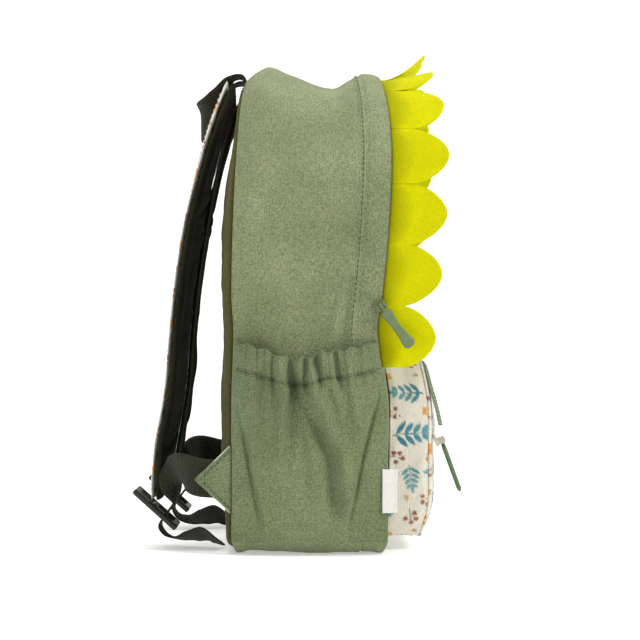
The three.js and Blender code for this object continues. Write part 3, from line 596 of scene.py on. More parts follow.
def woven_canvas(name, shade, body, light, thread):
    """Plain woven cotton canvas: matt and softly mottled, its threads drawn coarser than the real 0.5 mm."""
    material, tree, bsdf = start_material(name, body, 0.9, Sheen_Weight=0.08, Sheen_Roughness=0.5,
                                          Specular_IOR_Level=0.2)
    weave = weave_height(tree, thread)
    grain = speckle(tree, 0.0008, 3.0, 0.7)
    mottle = speckle(tree, 0.030, 3.0, 0.55)
    cloud = colour_between(tree, mottle, 0.3, 0.7, shade, light)
    base = mixed(tree, "MIX", 0.5, rgba(body), cloud)
    fleck = colour_between(tree, grain, 0.3, 0.7, "#8a8a8a", "#ffffff")
    base = mixed(tree, "MULTIPLY", 0.8, base, fleck)
    threads = colour_between(tree, weave, 0.1, 0.9, "#b0b0b0", "#ffffff")
    base = mixed(tree, "MULTIPLY", 0.4, base, threads)
    tree.links.new(base, bsdf.inputs["Base Color"])
    raise_surface(tree, bsdf, [(weave, 0.5), (grain, 0.7)], 0.0006)
    return material


def printed_canvas(name, ground, thread):
    """Cream cotton canvas with the printed pattern held in the piece's own colour attribute."""
    material, tree, bsdf = start_material(name, ground, 0.86, Sheen_Weight=0.15)
    weave = weave_height(tree, thread)
    grain = speckle(tree, 0.0008, 3.0, 0.7)
    ink = add_node(tree, "ShaderNodeVertexColor", {"layer_name": "Print"}).outputs["Color"]
    fleck = colour_between(tree, grain, 0.3, 0.7, "#d2d2d2", "#ffffff")
    base = mixed(tree, "MULTIPLY", 0.5, ink, fleck)
    threads = colour_between(tree, weave, 0.1, 0.9, "#d8d8d8", "#ffffff")
    base = mixed(tree, "MULTIPLY", 0.4, base, threads)
    tree.links.new(base, bsdf.inputs["Base Color"])
    raise_surface(tree, bsdf, [(weave, 0.5), (grain, 0.5)], 0.0004)
    return material


def wool_felt(name, shade, body, light):
    """Pressed wool felt: no threads, a short fuzz that catches the light, a fine uneven dye, and painted shade
    near its root.
    """
    material, tree, bsdf = start_material(name, body, 0.95, Sheen_Weight=0.1, Sheen_Roughness=0.4,
                                          Sheen_Tint=(0.9, 0.95, 0.1, 1), Specular_IOR_Level=0.1)
    fibre = speckle(tree, 0.0009, 6.0, 0.75)
    cloud = speckle(tree, 0.012, 3.0, 0.6)
    base = mixed(tree, "MIX", 0.45, rgba(body), colour_between(tree, cloud, 0.3, 0.7, shade, light))
    base = mixed(tree, "MULTIPLY", 0.35, base, colour_between(tree, fibre, 0.3, 0.7, "#a9a98c", "#ffffff"))
    # Painted shade: the felt darkens towards its root at the seam, where the gusset's edge shades it, over the
    # first 1 to 16 mm of the UV's height.
    uv = add_node(tree, "ShaderNodeUVMap", {"uv_map": "Cloth"}).outputs["UV"]
    root = add_node(tree, "ShaderNodeSeparateXYZ", Vector=uv).outputs["Y"]
    base = mixed(tree, "MULTIPLY", 1.0, base, colour_between(tree, root, 0.001, 0.016, "#c4c4b0", "#ffffff"))
    tree.links.new(base, bsdf.inputs["Base Color"])
    raise_surface(tree, bsdf, [(fibre, 1.0), (cloud, 0.5)], 0.0007)
    return material


def smooth_olive(name, shade, body, light, grain_size, roughness=0.8):
    """Dense polyester cloth over foam: nearly plain, with a small knit grain and a slight sheen."""
    material, tree, bsdf = start_material(name, body, roughness, Sheen_Weight=0.04, Specular_IOR_Level=0.15)
    grain = speckle(tree, grain_size, 3.0, 0.6)
    cloud = speckle(tree, 0.028, 2.0, 0.5)
    base = mixed(tree, "MIX", 0.5, rgba(body), colour_between(tree, cloud, 0.3, 0.7, shade, light))
    base = mixed(tree, "MULTIPLY", 0.4, base, colour_between(tree, grain, 0.3, 0.7, "#9c9c9c", "#ffffff"))
    tree.links.new(base, bsdf.inputs["Base Color"])
    raise_surface(tree, bsdf, [(grain, 1.0), (cloud, 0.6)], 0.0005)
    return material


def ribbed_webbing(name, dark, light, rib):
    """Woven webbing: ribs across its length, rib metres apart, and shallow ridges from the warp."""
    material, tree, bsdf = start_material(name, dark, 0.75, Sheen_Weight=0.03, Specular_IOR_Level=0.25)
    ribs = waves(tree, "X", rib, Distortion=0.6, Detail=1.0)
    warp = waves(tree, "Y", 1.25 * rib, Distortion=1.0, Detail=1.0)
    grain = speckle(tree, 0.0012, 3.0, 0.7)
    base = mixed(tree, "MIX", grain, rgba(dark), rgba(light))
    base = mixed(tree, "MULTIPLY", 0.4, base, colour_between(tree, ribs, 0.1, 0.9, "#b0b0b0", "#ffffff"))
    tree.links.new(base, bsdf.inputs["Base Color"])
    raise_surface(tree, bsdf, [(ribs, 0.7), (warp, 0.5), (grain, 0.5)], 0.0005)
    return material


def moulded(name, body, rim, roughness, metallic=0.0, ior=1.5):
    """Moulded rubber or acetal, or lacquered zinc: smooth, and a little worn where it is handled."""
    material, tree, bsdf = start_material(name, body, roughness, Metallic=metallic, IOR=ior)
    wear = speckle(tree, 0.004, 3.0, 0.6)
    fine = speckle(tree, 0.0007, 2.0, 0.6)
    tree.links.new(colour_between(tree, wear, 0.35, 0.75, rim, body), bsdf.inputs["Base Color"])
    raise_surface(tree, bsdf, [(fine, 0.5), (wear, 0.5)], 0.0001)
    return material


def woven_ribbon(name):
    """White satin label ribbon: fine ribs, 1 mm apart, across its height."""
    material, tree, bsdf = start_material(name, "#dadad4", 0.7)
    ribs = waves(tree, "Y", RIBBON_RIB)
    grain = speckle(tree, 0.001, 2.0, 0.6)
    lines = colour_between(tree, ribs, 0.0, 1.0, "#c8c8c8", "#ffffff")
    base = mixed(tree, "MULTIPLY", 0.12, rgba("#dcdcd6"), lines)
    base = mixed(tree, "MULTIPLY", 0.2, base, colour_between(tree, grain, 0.3, 0.7, "#bdbdbd", "#ffffff"))
    tree.links.new(base, bsdf.inputs["Base Color"])
    raise_surface(tree, bsdf, [(ribs, 1.0), (grain, 0.5)], 0.00006)
    return material


def sewing_thread(name, colour):
    """Twisted polyester thread: a slight sheen, darker in its twist."""
    material, tree, bsdf = start_material(name, colour, 0.65, Sheen_Weight=0.2)
    twist = speckle(tree, 0.0006, 2.0, 0.5)
    hollows = colour_between(tree, twist, 0.3, 0.7, "#909090", "#ffffff")
    base = mixed(tree, "MULTIPLY", 0.3, rgba(colour), hollows)
    tree.links.new(base, bsdf.inputs["Base Color"])
    return material


# Metres from rib to rib of the webbing, and of the label's ribbon
WEBBING_RIB = 0.0023688
RIBBON_RIB = 0.00098175


class Cloths:
    """Every material of the bag, made once, in the user's colours."""

    def __init__(self, thread, colours):
        def tone(key, code):
            """A tone of a cloth: as far from the chosen colour as code is from the usual one."""
            return np.clip(np.array(getattr(colours, key)) + linear(code) - linear(USUAL[key]), 0, 1)

        def tones(key, *codes):
            """Several tones of a cloth, one for each code."""
            return [tone(key, code) for code in codes]

        self.canvas = woven_canvas(
            "sage cotton canvas", *tones("canvas", "#81895f", "#9ba67c", "#b0b88e"), thread)
        self.pocket = woven_canvas(
            "sage pocket canvas", *tones("pocket_canvas", "#6f7d55", "#87966d", "#98a67c"), thread)
        self.print = printed_canvas("printed cotton canvas", tone("print_ground", "#efe8da"), thread)
        self.felt = wool_felt("lime wool felt", *tones("felt", "#c2c200", "#d0cd00", "#e0de04"))
        self.pad = smooth_olive(
            "olive polyester pad cloth", *tones("pad_cloth", "#403e1c", "#535026", "#5f5c2c"), 0.0015)
        self.lining = smooth_olive(
            "dark olive strap lining", *tones("strap_lining", "#12130a", "#1f200f", "#2a2b16"), 0.0012, 0.95)
        self.webbing = ribbed_webbing(
            "polypropylene webbing", *tones("webbing", "#1f2012", "#2f301d"), WEBBING_RIB)
        self.tape = ribbed_webbing("sage zip tape", *tones("zip_tape", "#77896b", "#8a9b7d"), WEBBING_RIB)
        self.sage_rubber = moulded(
            "sage pull rubber", *tones("pull_rubber", "#6a7b54", "#5d6e49"), 0.55, ior=1.52)
        self.green_rubber = moulded(
            "green pull rubber", *tones("pull_rubber", "#5a7350", "#4b6342"), 0.55, ior=1.52)
        self.zinc = moulded("lacquered zinc", "#c9c5b4", "#a9a594", 0.35, metallic=0.6)
        self.sage_zinc = moulded(
            "sage lacquered zinc", *tones("pull_rubber", "#77835f", "#66724f"), 0.4, metallic=0.3)
        self.acetal = moulded("dark acetal", *tones("hardware", "#1c1d11", "#14150b"), 0.45, ior=1.48)
        self.ribbon = woven_ribbon("white label ribbon")
        self.thread = sewing_thread("green polyester thread", tone("thread", "#414e36"))
        self.pale_thread = sewing_thread("pale cotton edge", "#c3c8ae")
        self.print_ground = tone("print_ground", "#efe8da")


# Settling of padded cloth

SETTLING_FRAMES = 20
SETTLING_ROWS = 70
SETTLING_COLUMNS = 56
# The cloth is settled at ten times its size, in metres
SETTLING_SCALE = 0.01


def settle(points, held, pressure, reach):
    """How far a padded face moves when its filling presses on it, in millimetres, for a grid of points.

    The cloth is simulated on a coarse grid, and its moves are read back for every point between. held marks
    the points that seams hold. No gravity: the filling alone shapes the face. No move is more than reach.
    """
    rows = np.unique(np.linspace(0, points.shape[0] - 1, SETTLING_ROWS).astype(int))
    columns = np.unique(np.linspace(0, points.shape[1] - 1, SETTLING_COLUMNS).astype(int))
    coarse = points[np.ix_(rows, columns)]
    pinned = held[np.ix_(rows, columns)].ravel()
    mesh = bpy.data.meshes.new("settling cloth")
    places = (coarse * SETTLING_SCALE).reshape(-1, 3)
    mesh.from_pydata(places.tolist(), [], grid_faces(len(rows), len(columns)).tolist())
    cloth = bpy.data.objects.new("settling cloth", mesh)
    scene = bpy.context.scene
    scene.collection.objects.link(cloth)
    group = cloth.vertex_groups.new(name="seams")
    group.add(np.flatnonzero(pinned).tolist(), 1.0, "REPLACE")
    modifier = cloth.modifiers.new("cloth", "CLOTH")
    modifier.settings.vertex_group_mass = "seams"
    modifier.settings.use_pressure = True
    modifier.settings.uniform_pressure_force = pressure
    modifier.settings.effector_weights.gravity = 0
    modifier.settings.quality = 6
    modifier.point_cache.frame_start, modifier.point_cache.frame_end = 1, SETTLING_FRAMES
    for number in range(1, SETTLING_FRAMES + 1):
        scene.frame_set(number)
    solved = cloth.evaluated_get(bpy.context.evaluated_depsgraph_get()).data
    moved = np.empty(len(solved.vertices) * 3)
    solved.vertices.foreach_get("co", moved)
    move = moved.reshape(coarse.shape) / SETTLING_SCALE - coarse
    bpy.data.objects.remove(cloth)
    scene.frame_set(1)
    size = np.linalg.norm(move, axis=-1, keepdims=True)
    move *= np.tanh(size / reach) * reach / np.maximum(size, 1e-6)
    full = np.empty_like(points)
    every_row, every_column = np.arange(points.shape[0]), np.arange(points.shape[1])
    for k in range(3):
        part = np.stack([np.interp(every_row, rows, line) for line in move[..., k].T], axis=1)
        full[..., k] = np.stack([np.interp(every_column, columns, line) for line in part])
    return full


# Pieces

def half_stations(counts, start=0.0):
    """Stations from start to 5, with a count of steps for each of the five units of half an outline."""
    every = np.concatenate([np.arange(n) / n + k for k, n in enumerate(counts) if n] + [[5.0]])
    return np.concatenate([[start], every[every > start + 0.01]])


def both_halves(stations, closed=False):
    """The stations up the right side and down the left one, with the side of each."""
    station = np.concatenate([stations, stations[-2::-1]])
    side = np.concatenate([np.ones(len(stations)), -np.ones(len(stations) - 1)])
    return (station[:-1], side[:-1]) if closed else (station, side)


def lengths(grid, axis):
    """Distance along one axis of a grid of points, from its middle row or column: the piece's own UV."""
    step = np.linalg.norm(np.diff(grid, axis=axis), axis=-1)
    middle = np.take(step, [step.shape[1 - axis] // 2], axis=1 - axis)
    total = np.cumsum(middle, axis=axis)
    total = np.concatenate([np.zeros_like(np.take(total, [0], axis=axis)), total], axis=axis)
    return np.broadcast_to(total, grid.shape[:2])


def cloth_uv(grid):
    """The UV of a grid of points: distances along its rows and its columns, in millimetres."""
    return np.stack([lengths(grid, 1), lengths(grid, 0)], axis=-1)


def seam_line(bag, stations, depth, out):
    """Dense line over one side of the gusset at a share of the depth, with its outward normals."""
    station, side = both_halves(stations)
    line = bag.point(station, side, depth, out + canvas_relief(bag, station, side, depth))
    _, _, nx, nz = bag.section(depth).at(station)
    return line, np.stack([side * nx, np.zeros_like(nx), nz], axis=-1)


def stitched(name, line, normals, material, length, **place):
    """Stitches at an even spacing along a line, each lying on the cloth whose normals are given."""
    points, tangents = along_curve(line, length * 1.25)
    near = np.linalg.norm(points[:, None] - line[None, ::4], axis=-1).argmin(axis=1) * 4
    return stitches(name, points, normals[near], tangents, material, length, **place)


# The seam behind the zip, as a share of the depth; its stitches are this many millimetres behind it
SEAM_DEPTH = 0.85
SEAM_SINK = 0.9
TOPSTITCH_BACK = 2.4
# Wavelength and rise in millimetres, and seed, of the canvas' soft noise
WRINKLES = ((64, 1.35, 11), (26, 0.45, 12), (11, 0.12, 13))
# Folds of the sides in millimetres: middle, slope, half height, half width and rise
SIDE_FOLDS = (
    dict(y=2, z=158, lean=0.35, reach=24, wide=9, rise=-3.2),
    dict(y=-16.5, z=150, lean=0.22, reach=30, wide=3.6, rise=2.4),
    dict(y=-22, z=146, lean=0.1, reach=24, wide=2.6, rise=-1.8),
    dict(y=-27, z=150, lean=0.06, reach=30, wide=2.8, rise=1.5),
    dict(y=-33, z=152, lean=0.0, reach=26, wide=2.8, rise=-1.0),
    dict(y=27, z=140, lean=-0.5, reach=22, wide=6, rise=1.2),
    dict(y=12, z=262, lean=0.6, reach=26, wide=9, rise=-1.6),
    dict(y=-8, z=226, lean=-0.9, reach=30, wide=10, rise=-1.5),
)


def canvas_relief(bag, station, side, depth):
    """Outward relief of the gusset: smooth noise, folds above the pockets and the sunk seam behind the zip.

    It dies out towards the two seams, and on the base it only sinks, so that the bag stands on its floor.
    """
    base = bag.point(station, side, depth)
    quiet = 1 - smooth(0.8, 0.97, np.abs(2 * depth - 1))
    relief = sum(rise * ripple(base * [1, 1, 0.7], length, seed) for length, rise, seed in WRINKLES) * quiet
    for fold in SIDE_FOLDS:
        reach = bell(base[..., 2] - fold["z"], fold["reach"]) * smooth(1.9, 2.1, station)
        line = fold["y"] - fold["lean"] * (base[..., 2] - fold["z"])
        relief += fold["rise"] * reach * bell(base[..., 1] - line, fold["wide"]) * quiet
    behind = (depth - SEAM_DEPTH) * bag.depth
    relief += SEAM_SINK * (0.6 * bell(behind + 2.2, 1.6) - bell(behind, 0.9)) * quiet
    return np.where(station < 2, np.minimum(relief, 0), relief)


class Piece:
    """What every operator of a piece shares: the bag's functions, its materials and the stitch's length."""
    bl_options = {"REGISTER", "UNDO"}
    cloths = []

    def execute(self, context):
        sizes = context.scene.backpack
        if not Piece.cloths:
            Piece.cloths.append(Cloths(sizes.thread, context.scene.backpack_colours))
        self.make(Bag(sizes), Piece.cloths[0], sizes.stitch / MM)
        return {"FINISHED"}


class BACKPACK_OT_gusset(Piece, bpy.types.Operator):
    """Canvas sides, top and base in one band, with dents, folds and a topstitched seam"""
    bl_idname = "backpack.gusset"
    bl_label = "Gusset"

    def make(self, bag, cloths, stitch):
        station, side = both_halves(half_stations((20, 20, 94, 62, 18)), closed=True)
        depth = np.linspace(0, 1, 82)[:, None]
        outer = bag.point(station, side, depth, canvas_relief(bag, station[None], side[None], depth))
        inner = outer - (bag.point(station, side, depth, 1.0) - bag.point(station, side, depth)) * CANVAS
        cloth_wall("canvas gusset", outer, inner, cloths.canvas, closed=True, uv=cloth_uv(outer),
                   replaces=["gusset"])
        stations = half_stations((24, 22, 200, 120, 40), 1.9)
        line, normals = seam_line(bag, stations, SEAM_DEPTH - TOPSTITCH_BACK / bag.depth, 0.1)
        stitched("gusset topstitch", line, normals, cloths.thread, stitch)


class BACKPACK_OT_panels(Piece, bpy.types.Operator):
    """Domed front panel, and the padded back panel with quilted channels"""
    bl_idname = "backpack.panels"
    bl_label = "Front and back panels"

    def make(self, bag, cloths, stitch):
        levels = np.concatenate([
            np.linspace(1, 2, 14)[:-1], np.linspace(2, 3, 90)[:-1], np.linspace(3, 4, 46)])
        low, high = (bag.front.station_at_height(ZIP_END_HEIGHT - below) for below in FRONT_NARROWS)
        inset = CANVAS + SEAM_CLEARANCE + (ZIP_TAPE + GAP) * smooth(low, high, levels)
        x, z, across, up = panel_grid(bag.front, levels, inset, 60)
        relief = 0.5 * ripple(np.stack([x, 0 * x, z], -1), 50, 21) * crown(across, up)
        front = np.stack([x, bag.panel_front(z, across, up) + relief, z], axis=-1)
        cloth_wall("canvas front panel", front, front + [0, CANVAS, 0], cloths.canvas, uv=cloth_uv(front),
                   replaces=["front_panel"])
        make_back_pad(bag, cloths, levels)


def panel_grid(outline, levels, inset, columns):
    """Places of a panel's points: x and z in millimetres, and across and up from -1 to 1 between its edges.

    The columns are spaced by a sine, so that they lie closer towards the sides.
    """
    edge, z, _, _ = outline.at(levels, inset)
    widest = math.pi / 2 * 0.93
    across = np.sin(np.linspace(-widest, widest, columns)) / math.sin(widest)
    z = np.broadcast_to(z[:, None], (len(levels), columns))
    up = 2 * (z - outline.foot) / outline.height - 1
    return edge[:, None] * across, z, np.broadcast_to(across, z.shape), up


# How far below the zip's end the front panel starts and stops narrowing, to make room for the zip
FRONT_NARROWS = (50, 22)
# The two channels of the pad: place on either side of the middle, half width and deepest sink
CHANNEL_PLACE = 38
CHANNEL_WIDTH = 2.4
CHANNEL_SINK = 2.6
PAD_PINCH = 2.2
PAD_COLUMNS = 110


def make_back_pad(bag, cloths, levels):
    """The pad: flat in front, crowned behind, pinched at its rim and along two upright channels."""
    front_x, front_z, across, up = panel_grid(bag.back, levels, PAD_FLANGE, PAD_COLUMNS)
    back_x, back_z, _, _ = panel_grid(bag.back, levels, PAD_INSET, PAD_COLUMNS)
    edge = np.minimum(1 - np.abs(across), (1 - np.abs(up)) * 0.8)
    pinch = 1 - smooth(0.0, 0.10, edge)
    channel = bell(np.abs(back_x) - CHANNEL_PLACE, CHANNEL_WIDTH) * smooth(0.05, 0.2, edge)
    spot = np.stack([back_x, 0 * back_x, back_z], axis=-1)
    soft = 0.6 * ripple(spot, 42, 31) + 0.25 * ripple(spot, 15, 32)
    behind = bag.pad_back(back_z, across, up)
    thick = behind - bag.pad_front(back_z)
    behind = behind - pinch * np.minimum(thick - PAD_PINCH, PAD_PINCH)
    behind = behind - channel * np.minimum(CHANNEL_SINK, thick * 0.4) + soft * (1 - pinch)
    pad = np.stack([back_x, behind, back_z], axis=-1)
    held = (edge < 0.04) | (channel > 0.6)
    pad = pad + settle(pad, held, pressure=3.0, reach=2.2) * (1 - pinch[..., None] * 0.5)
    flat = np.stack([front_x, bag.pad_front(front_z), front_z], axis=-1)
    piece = cloth_wall("padded back panel", flat, pad, cloths.pad, uv=cloth_uv(pad), bulge=0.3,
                       replaces=["back_panel"])


# Reach and lift of a side's four loose spikes, as shares of SPIKE_REACH
LOOSE_SPIKES = ((1, 0.03), (0.98, 0.08), (0.93, 0.2), (0.86, 0.55))
STRIP_SPIKES = 3
SPIKE_COLUMNS = 44
FELT_WAVER = 0.8


def felt_points(bag, side, first, count, reach, lift, levels, inset):
    """Points of a felt piece of count spikes: scallops from the seam forward, lifting as they go.

    A scallop's length is a power of one less a power of its place from -1 to 1, and its columns are spaced
    by a cosine, so that they lie closer towards the valleys.
    """
    part = np.minimum(np.arange(SPIKE_COLUMNS * count + 1) // SPIKE_COLUMNS, count - 1)
    turn = np.arange(SPIKE_COLUMNS * count + 1) / SPIKE_COLUMNS - part
    u = -np.cos(math.pi * turn)
    along = CREST_FOOT - BASE_RADIUS + SPIKE_PITCH * (first + part + (u + 1) / 2)
    along[0] += GAP / 2
    along[-1] -= GAP / 2
    longest = reach * SPIKE_REACH
    height = SPIKE_VALLEY + (longest - SPIKE_VALLEY) * np.maximum(1 - np.abs(u) ** 1.8, 0) ** 0.72
    t = levels[:, None]
    rise = lift * SPIKE_REACH * (t * height / longest) ** 2
    waves = np.sin(along * 0.17 + first) + np.cos(along * 0.11 + side)
    waver = FELT_WAVER * smooth(0.15, 0.9, t) * waves / 2
    return bag.seam_point(bag.front.station(along), side, rise + waver - inset, FELT_FORWARD + t * height)


class BACKPACK_OT_crest(Piece, bpy.types.Operator):
    """Wool felt spikes round the front seam: two low strips of three, and four loose spikes on each side"""
    bl_idname = "backpack.crest"
    bl_label = "Felt crest"

    def make(self, bag, cloths, stitch):
        levels = np.linspace(0, 1, 26) ** 0.85
        inset = CANVAS + GAP
        for side, hand in ((-1, "left"), (1, "right")):
            parts = [(0, STRIP_SPIKES, 1.0, 0.0, f"crest_strip_{hand}")]
            for number, (reach, lift) in enumerate(LOOSE_SPIKES):
                parts.append((STRIP_SPIKES + number, 1, reach, lift, f"spike_{hand}_{number + 1}"))
            for first, count, reach, lift, node in parts:
                outer, inner = (felt_points(bag, side, first, count, reach, lift, levels, by)
                                for by in (inset, inset + FELT))
                cloth_wall(f"felt {node}", outer, inner, cloths.felt, uv=cloth_uv(outer), bulge=0.6,
                           replaces=[node])


# The main zip's front edge before the seam, the tape's width, and the rise of the ridge along it
ZIP_FORWARD = 1.5
ZIP_WIDTH = 10.5
ZIP_RIDGE = 0.25


class BACKPACK_OT_main_zip(Piece, bpy.types.Operator):
    """Zip tape with the ridge of its coil, under the free edge of the gusset"""
    bl_idname = "backpack.main_zip"
    bl_label = "Main zip"

    def make(self, bag, cloths, stitch):
        start = float(bag.front.station_at_height(ZIP_END_HEIGHT))
        station, side = both_halves(half_stations((0, 0, 170, 110, 40), start))
        share = np.linspace(0, 1, 9)[:, None]
        forward = ZIP_FORWARD - ZIP_WIDTH * (1 - share)
        inset = CANVAS + SEAM_CLEARANCE
        outer, inner = (bag.seam_point(station, side, out, forward)
                        for out in (ZIP_RIDGE * bell(share - 0.45, 0.16) - inset, -inset - ZIP_TAPE))
        cloth_wall("main zip tape", outer, inner, cloths.tape, uv=cloth_uv(outer), replaces=["main_zip"])


# Gathers of a pocket's mouth in shares of the depth and of POCKET_BELLY
GATHERS = {
    "depth": (0.13, 0.24, 0.32, 0.395, 0.445, 0.5, 0.565, 0.62, 0.7, 0.8),
    "rise": (0.1, -0.14, 0.16, -0.34, 0.2, -0.2, -0.3, 0.18, -0.16, 0.1),
    "spread": (0.04, 0.035, 0.032, 0.022, 0.025, 0.02, 0.022, 0.028, 0.03, 0.04),
}
# Long folds of a pocket: depth at three heights, width in millimetres and rise
POCKET_FOLDS = (
    dict(up=(0.05, 0.42, 0.78), depth=(0.715, 0.67, 0.49), wide=6.0, rise=4.6),
    dict(up=(0.45, 0.62, 0.80), depth=(0.335, 0.35, 0.375), wide=5.0, rise=-3.4),
    dict(up=(0.55, 0.66, 0.80), depth=(0.20, 0.205, 0.225), wide=3.4, rise=1.5),
    dict(up=(0.15, 0.45, 0.78), depth=(0.52, 0.49, 0.44), wide=6.0, rise=1.3),
    dict(up=(0.50, 0.66, 0.80), depth=(0.66, 0.63, 0.585), wide=4.0, rise=-2.0),
    dict(up=(0.58, 0.68, 0.80), depth=(0.78, 0.765, 0.745), wide=3.6, rise=1.2),
)
# Creases of the casing: place in depth, half width in millimetres and sink
CASING_CREASES = (
    (0.385, 1.7, 3.4), (0.436, 1.2, 1.5), (0.487, 1.4, 2.4), (0.572, 1.6, 3.6), (0.62, 1.4, 1.3),
    (0.70, 1.6, 1.9), (0.27, 1.8, 2.0), (0.17, 2.2, 0.8), (0.83, 2.0, 0.9),
)
FINE_GATHERS = 17
CASING_LINE = 1 - CASING_HEIGHT / POCKET_MOUTH
# The pockets' soft noise is laid out on this depth in millimetres, so that a deeper bag keeps it
NOISE_DEPTH = 102.0
CASING_GROOVE = 2.0
CASING_SWELL = 1.8
PLEAT_GROOVE = 2.3
# Scales the product of a fold's offset and a bell, whose peak is 0.43, to a peak of 1
TO_PEAK = 2.33


def pocket_point(bag, side, depth, up, out):
    """A side pocket's point at shares of the depth and of its height; below 0 it tucks under the base.

    It bellies out from the gusset by a power of a sine, is gathered near its mouth by bells along the depth,
    and is stepped inwards at two pleats. pocket_relief adds the folds.
    """
    section = bag.section(depth)
    mouth = POCKET_MOUTH * look_up(MOUTH, "depth", "height", depth) - BASE_RADIUS
    along = np.where(up < 0, up * POCKET_TUCK, up * mouth)
    belly = np.maximum(np.sin(math.pi * depth), 0) ** 0.65
    belly = belly * smooth(-0.1, 0.4, up) * (0.5 + 0.5 * smooth(0.3, 1, up))
    casing = smooth(1 - 1.9 * CASING_HEIGHT / POCKET_MOUTH, 1 - 0.9 * CASING_HEIGHT / POCKET_MOUTH, up)
    for place, rise, spread in zip(*GATHERS.values()):
        belly = belly + rise * bell(depth - place, spread) * casing
    back, front = look_up(PLEATS, "height", "back", up), look_up(PLEATS, "height", "front", up)
    pleat = smooth(back - 0.010, back + 0.012, depth) * (1 - smooth(front - 0.012, front + 0.010, depth))
    free = smooth(0, 0.05, depth) * (1 - smooth(0.95, 1, depth))
    stand = SEAM_CLEARANCE + np.maximum(belly, 0) * POCKET_BELLY + PLEAT_STEP * pleat * free * (1 - casing)
    quiet = smooth(0.0, 0.12, depth) * (1 - smooth(0.88, 1, depth)) * smooth(-0.2, 0.2, up)
    phase = 2 * math.pi * FINE_GATHERS * depth + 1.6 * np.sin(9 * depth) + side
    relief = pocket_relief(bag, side, depth, up, mouth, phase)
    for edge, hand in ((back, -1), (front, 1)):
        groove = bell((depth - edge) * bag.depth * hand - 1.5, 1.4) * (1 - casing)
        relief = relief - PLEAT_GROOVE * groove * smooth(0.02, 0.08, np.minimum(edge, 1 - edge))
    stand = np.maximum(stand + relief * quiet, SEAM_CLEARANCE)
    along = along + 1.1 * np.sin(phase * 0.5 + 2) * quiet * smooth(0.9, 1, up)
    return bag.point(section.station(along), side, depth, out + stand)


def pocket_relief(bag, side, depth, up, mouth, phase):
    """Folds, creases, ruffles, the casing's stitch line and soft noise of a side pocket, in millimetres.

    A long fold rises on one side of its line and sinks on the other: its offset times a bell. A crease is a
    groove between two low ridges. The ruffles are sines of the phase, which runs with the fine gathers.
    """
    relief = 0
    for fold in POCKET_FOLDS:
        at = np.interp(up, fold["up"], fold["depth"])
        reach = smooth(fold["up"][0] - 0.14, fold["up"][0] + 0.1, up) * (1 - smooth(0.86, 0.97, up))
        away = (depth - at) * bag.depth / fold["wide"]
        relief = relief + fold["rise"] * reach * TO_PEAK * away * bell(away, 1)
    gathered = (0.15 + 0.85 * smooth(0.70, 0.88, up)) * smooth(0.62, 0.84, up)
    for at, wide, sink in CASING_CREASES:
        away = (depth - at) * bag.depth
        shape = 0.35 * bell(np.abs(away) - 2.6 * wide, wide * 1.3) - bell(away, wide)
        relief = relief + sink * shape * gathered
    ruffle = np.sin(phase) + 0.5 * np.sin(2.3 * phase + 1)
    relief = relief + ruffle * (0.5 * smooth(0.72, 0.86, up) + 0.4 * smooth(0.93, 1, up))
    relief = relief - CASING_GROOVE * bell((up - CASING_LINE) * mouth, 1.5)
    relief = relief + CASING_SWELL * bell((up - 0.93) * mouth, 5.5)
    spot = np.stack(np.broadcast_arrays(depth * NOISE_DEPTH, up * mouth, side * 10.0), axis=-1)
    return relief + 0.55 * ripple(spot, 34, 41) * smooth(0, 0.3, up) + 0.2 * ripple(spot, 13, 42)


# A pocket's two stitch rows are a share apart
CASING_ROWS = 0.012


class BACKPACK_OT_side_pockets(Piece, bpy.types.Operator):
    """Side pockets gathered by an elastic casing at the mouth, with two pleats down to the base"""
    bl_idname = "backpack.side_pockets"
    bl_label = "Side pockets"

    def make(self, bag, cloths, stitch):
        up = np.concatenate([np.linspace(-1, 0, 12)[:-1], np.linspace(0, 1, 128)])[:, None]
        depth = np.linspace(0, 1, 160)[None, :]
        for side, hand in ((-1.0, "left"), (1.0, "right")):
            places = np.broadcast_arrays(depth, up)
            outer, inner = (pocket_point(bag, side, *places, out) for out in (CANVAS, 0.0))
            uv = cloth_uv(outer)
            pocket = cloth_wall(f"gathered pocket {hand}", outer, inner, cloths.pocket, uv=uv, bulge=0.7,
                                replaces=[f"side_pocket_{hand}"])
            across = np.linspace(0.02, 0.98, 500)
            for level in (CASING_LINE, CASING_LINE + CASING_ROWS):
                line = pocket_point(bag, side, across, np.full_like(across, level), CANVAS + 0.1)
                normals = np.tile([side, 0.0, 0.0], (len(across), 1))
                stitched(f"casing stitches {hand} {level:.2f}", line, normals, cloths.thread, stitch * 0.85)


# Print: a loose scatter of plain leaves, berries and round flowers

# Width and height in millimetres of the cell that repeats
PRINT_CELL = (57.0, 49.0)
# Motifs of one cell: place in shares, turn in degrees and size in millimetres
PRINT_MOTIFS = (
    dict(kind="spray", u=0.12, v=0.20, turn=28, size=27, dark="#2f7480", light="#5c9faa"),
    dict(kind="spray", u=0.60, v=0.66, turn=165, size=24, dark="#357a86", light="#6aa9b0"),
    dict(kind="spray", u=0.62, v=0.16, turn=-75, size=18, dark="#4a8f98", light="#7db4ba"),
    dict(kind="berries", u=0.36, v=0.04, turn=10, size=12, dark="#7d4029", light="#a3674a"),
    dict(kind="berries", u=0.12, v=0.72, turn=-60, size=13, dark="#86482f", light="#ab7150"),
    dict(kind="berries", u=0.88, v=0.44, turn=130, size=11, dark="#86482f", light="#ab7150"),
    dict(kind="flower", u=0.37, v=0.44, turn=0, size=9.5, dark="#d88a22", light="#efb65c"),
    dict(kind="flower", u=0.86, v=0.88, turn=0, size=8, dark="#dd9434", light="#f0bd6c"),
    dict(kind="seeds", u=0.86, v=0.12, turn=30, size=7, dark="#c7a873", light="#d6bd90"),
    dict(kind="seeds", u=0.34, v=0.80, turn=-20, size=7, dark="#b98a5a", light="#cfa679"),
)


